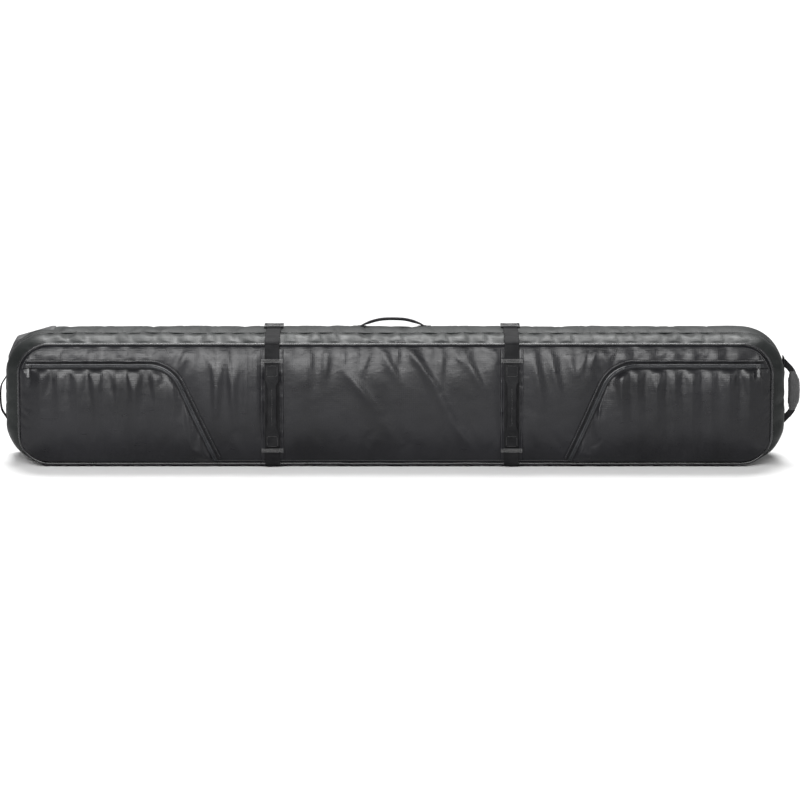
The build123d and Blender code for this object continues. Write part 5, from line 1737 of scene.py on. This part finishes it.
def make_tyre(level):
    low, high = (np.array(c) * 1000 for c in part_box(f"{level}_tyre"))
    cx, cy, cz = (low + high) / 2
    outer = (high[0] - low[0]) / 2
    half = (high[2] - low[2]) / 2
    inner = 24.05  # mm, just clear of the hub
    profile = [(inner, -half + 0.6), (inner + 0.6, -half), (outer - 8, -half),
               (outer - 4, -half + 1.1),
               (outer - 1.4, -half + 3.6), (outer - 0.4, -half + 6.6), (outer - 0.2, -5.2),
               (outer - 1.1, -4.6), (outer - 1.1, -3.8), (outer - 0.05, -3.2), (outer, 0.0),
               (outer - 0.05, 3.2), (outer - 1.1, 3.8), (outer - 1.1, 4.6), (outer - 0.2, 5.2),
               (outer - 0.4, half - 6.6), (outer - 1.4, half - 3.6), (outer - 4, half - 1.1),
               (outer - 8, half), (inner + 0.6, half), (inner, half - 0.6)]
    turn = np.linspace(0, 2 * math.pi, 96, endpoint=False)
    rows = [np.stack([cx + r * np.cos(turn), cy + r * np.sin(turn), np.full(96, cz + z)], 1) for r,
            z in profile]
    grid = np.stack(rows, 1) * 0.001
    made = piece(f"{level}_tyre_tread", grid.reshape(-1, 3),
                 grid_faces(96, len(profile), wrap_rows=True, wrap_columns=True), "tyre",
                 f"{level}_wheel", "wheel_tyre")
    made.data.set_sharp_from_angle(angle=math.radians(50))
    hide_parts(f"{level}_tyre")


def finish_node(name, material, width=0.0006):
    node = frame["nodes"][name]
    node.data.materials.clear()
    node.data.materials.append(MATERIALS[material])
    bevel = node.modifiers.new("Bevel", "BEVEL")
    bevel.width = width
    bevel.segments = 2
    bevel.limit_method = "ANGLE"
    bevel.angle_limit = math.radians(35)
    bevel.harden_normals = False


for level in ("upper", "lower"):
    make_tyre(level)
    finish_node(f"{level}_hub", "hub")
    finish_node(f"{level}_bearings", "steel", 0.0003)
for name, material, width in (("wheel_housing", "housing", 0.0008),
                              ("housing_screws", "steel", 0.0004),
                              ("wheel_axles", "steel", 0.0004), ("base_stiffener", "sheet", 0.0003),
                              ("left_strap_catch", "buckle", 0.0006),
                              ("right_strap_catch", "buckle", 0.0006),
                              ("end_handle_patches", "webbing", 0.0005),
                              ("top_handle_anchors", "webbing", 0.0005)):
    finish_node(name, material, width)


def make_housing_binding():
    """The bound edge of the fabric round the wheel housing."""
    row = int(np.argmin(np.abs(WALL_DEPTHS - HOUSING_Y)))
    ring = wall_shape[row]
    run = open_run(ring, ring[:, 0] < HOUSING_X + 0.004)
    away = unit((run - (HOUSING_X, 0, WALL_TOP / 2)) * (1, 0, 1))
    line = run - away * 0.0004
    line[:, 2] = np.clip(line[:, 2], 0.0020, WALL_TOP - 0.0006)
    piece("housing_binding", *tube(line, 0.0016, 8), "webbing", "root", "webbing")


make_housing_binding()

# ---- floor, light and camera -----------------------------------------------------------------

floor_mesh = bpy.data.meshes.new("floor")
floor_mesh.from_pydata([(-30, -30, 0), (30, -30, 0), (30, 30, 0), (-30, 30, 0)], [], [(0, 1, 2, 3)])
floor = bpy.data.objects.new("floor", floor_mesh)
scene.collection.objects.link(floor)
floor_paint = Paint("floor", (0.45, 0.45, 0.45), 0.85, Specular_IOR_Level=0.1)
floor_paint.mix_color(floor_paint.noise(0.4, 2), (0.445, 0.445, 0.445), (0.455, 0.455, 0.455))
floor_mesh.materials.append(floor_paint.material)

WORLD_STRENGTH = 0.30
world = bpy.data.worlds.new("studio")
world.use_nodes = True
world.node_tree.nodes["Background"].inputs["Color"].default_value = (1, 1, 1, 1)
world.node_tree.nodes["Background"].inputs["Strength"].default_value = WORLD_STRENGTH
scene.world = world


def aimed(light, place, target):
    light.location = place
    light.rotation_mode = "QUATERNION"
    light.rotation_quaternion = (Vector(target) - Vector(place)).to_track_quat("-Z", "Y")
    scene.collection.objects.link(light)


def soft_box(name, place, target, size, power):
    data = bpy.data.lights.new(name, "AREA")
    data.shape = "RECTANGLE"
    data.size, data.size_y = size
    data.energy = power
    aimed(bpy.data.objects.new(name, data), place, target)


def soft_sun(name, place, target, strength, spread):
    data = bpy.data.lights.new(name, "SUN")
    data.energy = strength
    data.angle = math.radians(spread)
    aimed(bpy.data.objects.new(name, data), place, target)


soft_sun("overhead", (0.0, 1.5, 3.0), (0, 0, 0), 7.2, 32)
soft_box("key", (-0.6, -3.1, 1.75), (0, 0, 0.14), (3.6, 1.4), 300)
soft_box("side", (3.2, -2.2, 1.5), (0, 0, 0.14), (0.8, 1.6), 45)

CAMERA_ELEVATION = math.radians(10.2)
CAMERA_DISTANCE = 9.0
SENSOR, LENS = 36, 186.5  # mm
TARGET = (0.0102, 0.0, 0.1300)
camera_data = bpy.data.cameras.new("camera")
camera_data.sensor_width = SENSOR
camera_data.lens = LENS
camera = bpy.data.objects.new("camera", camera_data)
camera.location = (TARGET[0], -CAMERA_DISTANCE * math.cos(CAMERA_ELEVATION),
                   TARGET[2] + CAMERA_DISTANCE * math.sin(CAMERA_ELEVATION))
camera.rotation_euler = (math.pi / 2 - CAMERA_ELEVATION, 0, 0)
scene.collection.objects.link(camera)
scene.camera = camera
scene.view_settings.view_transform = "Standard"
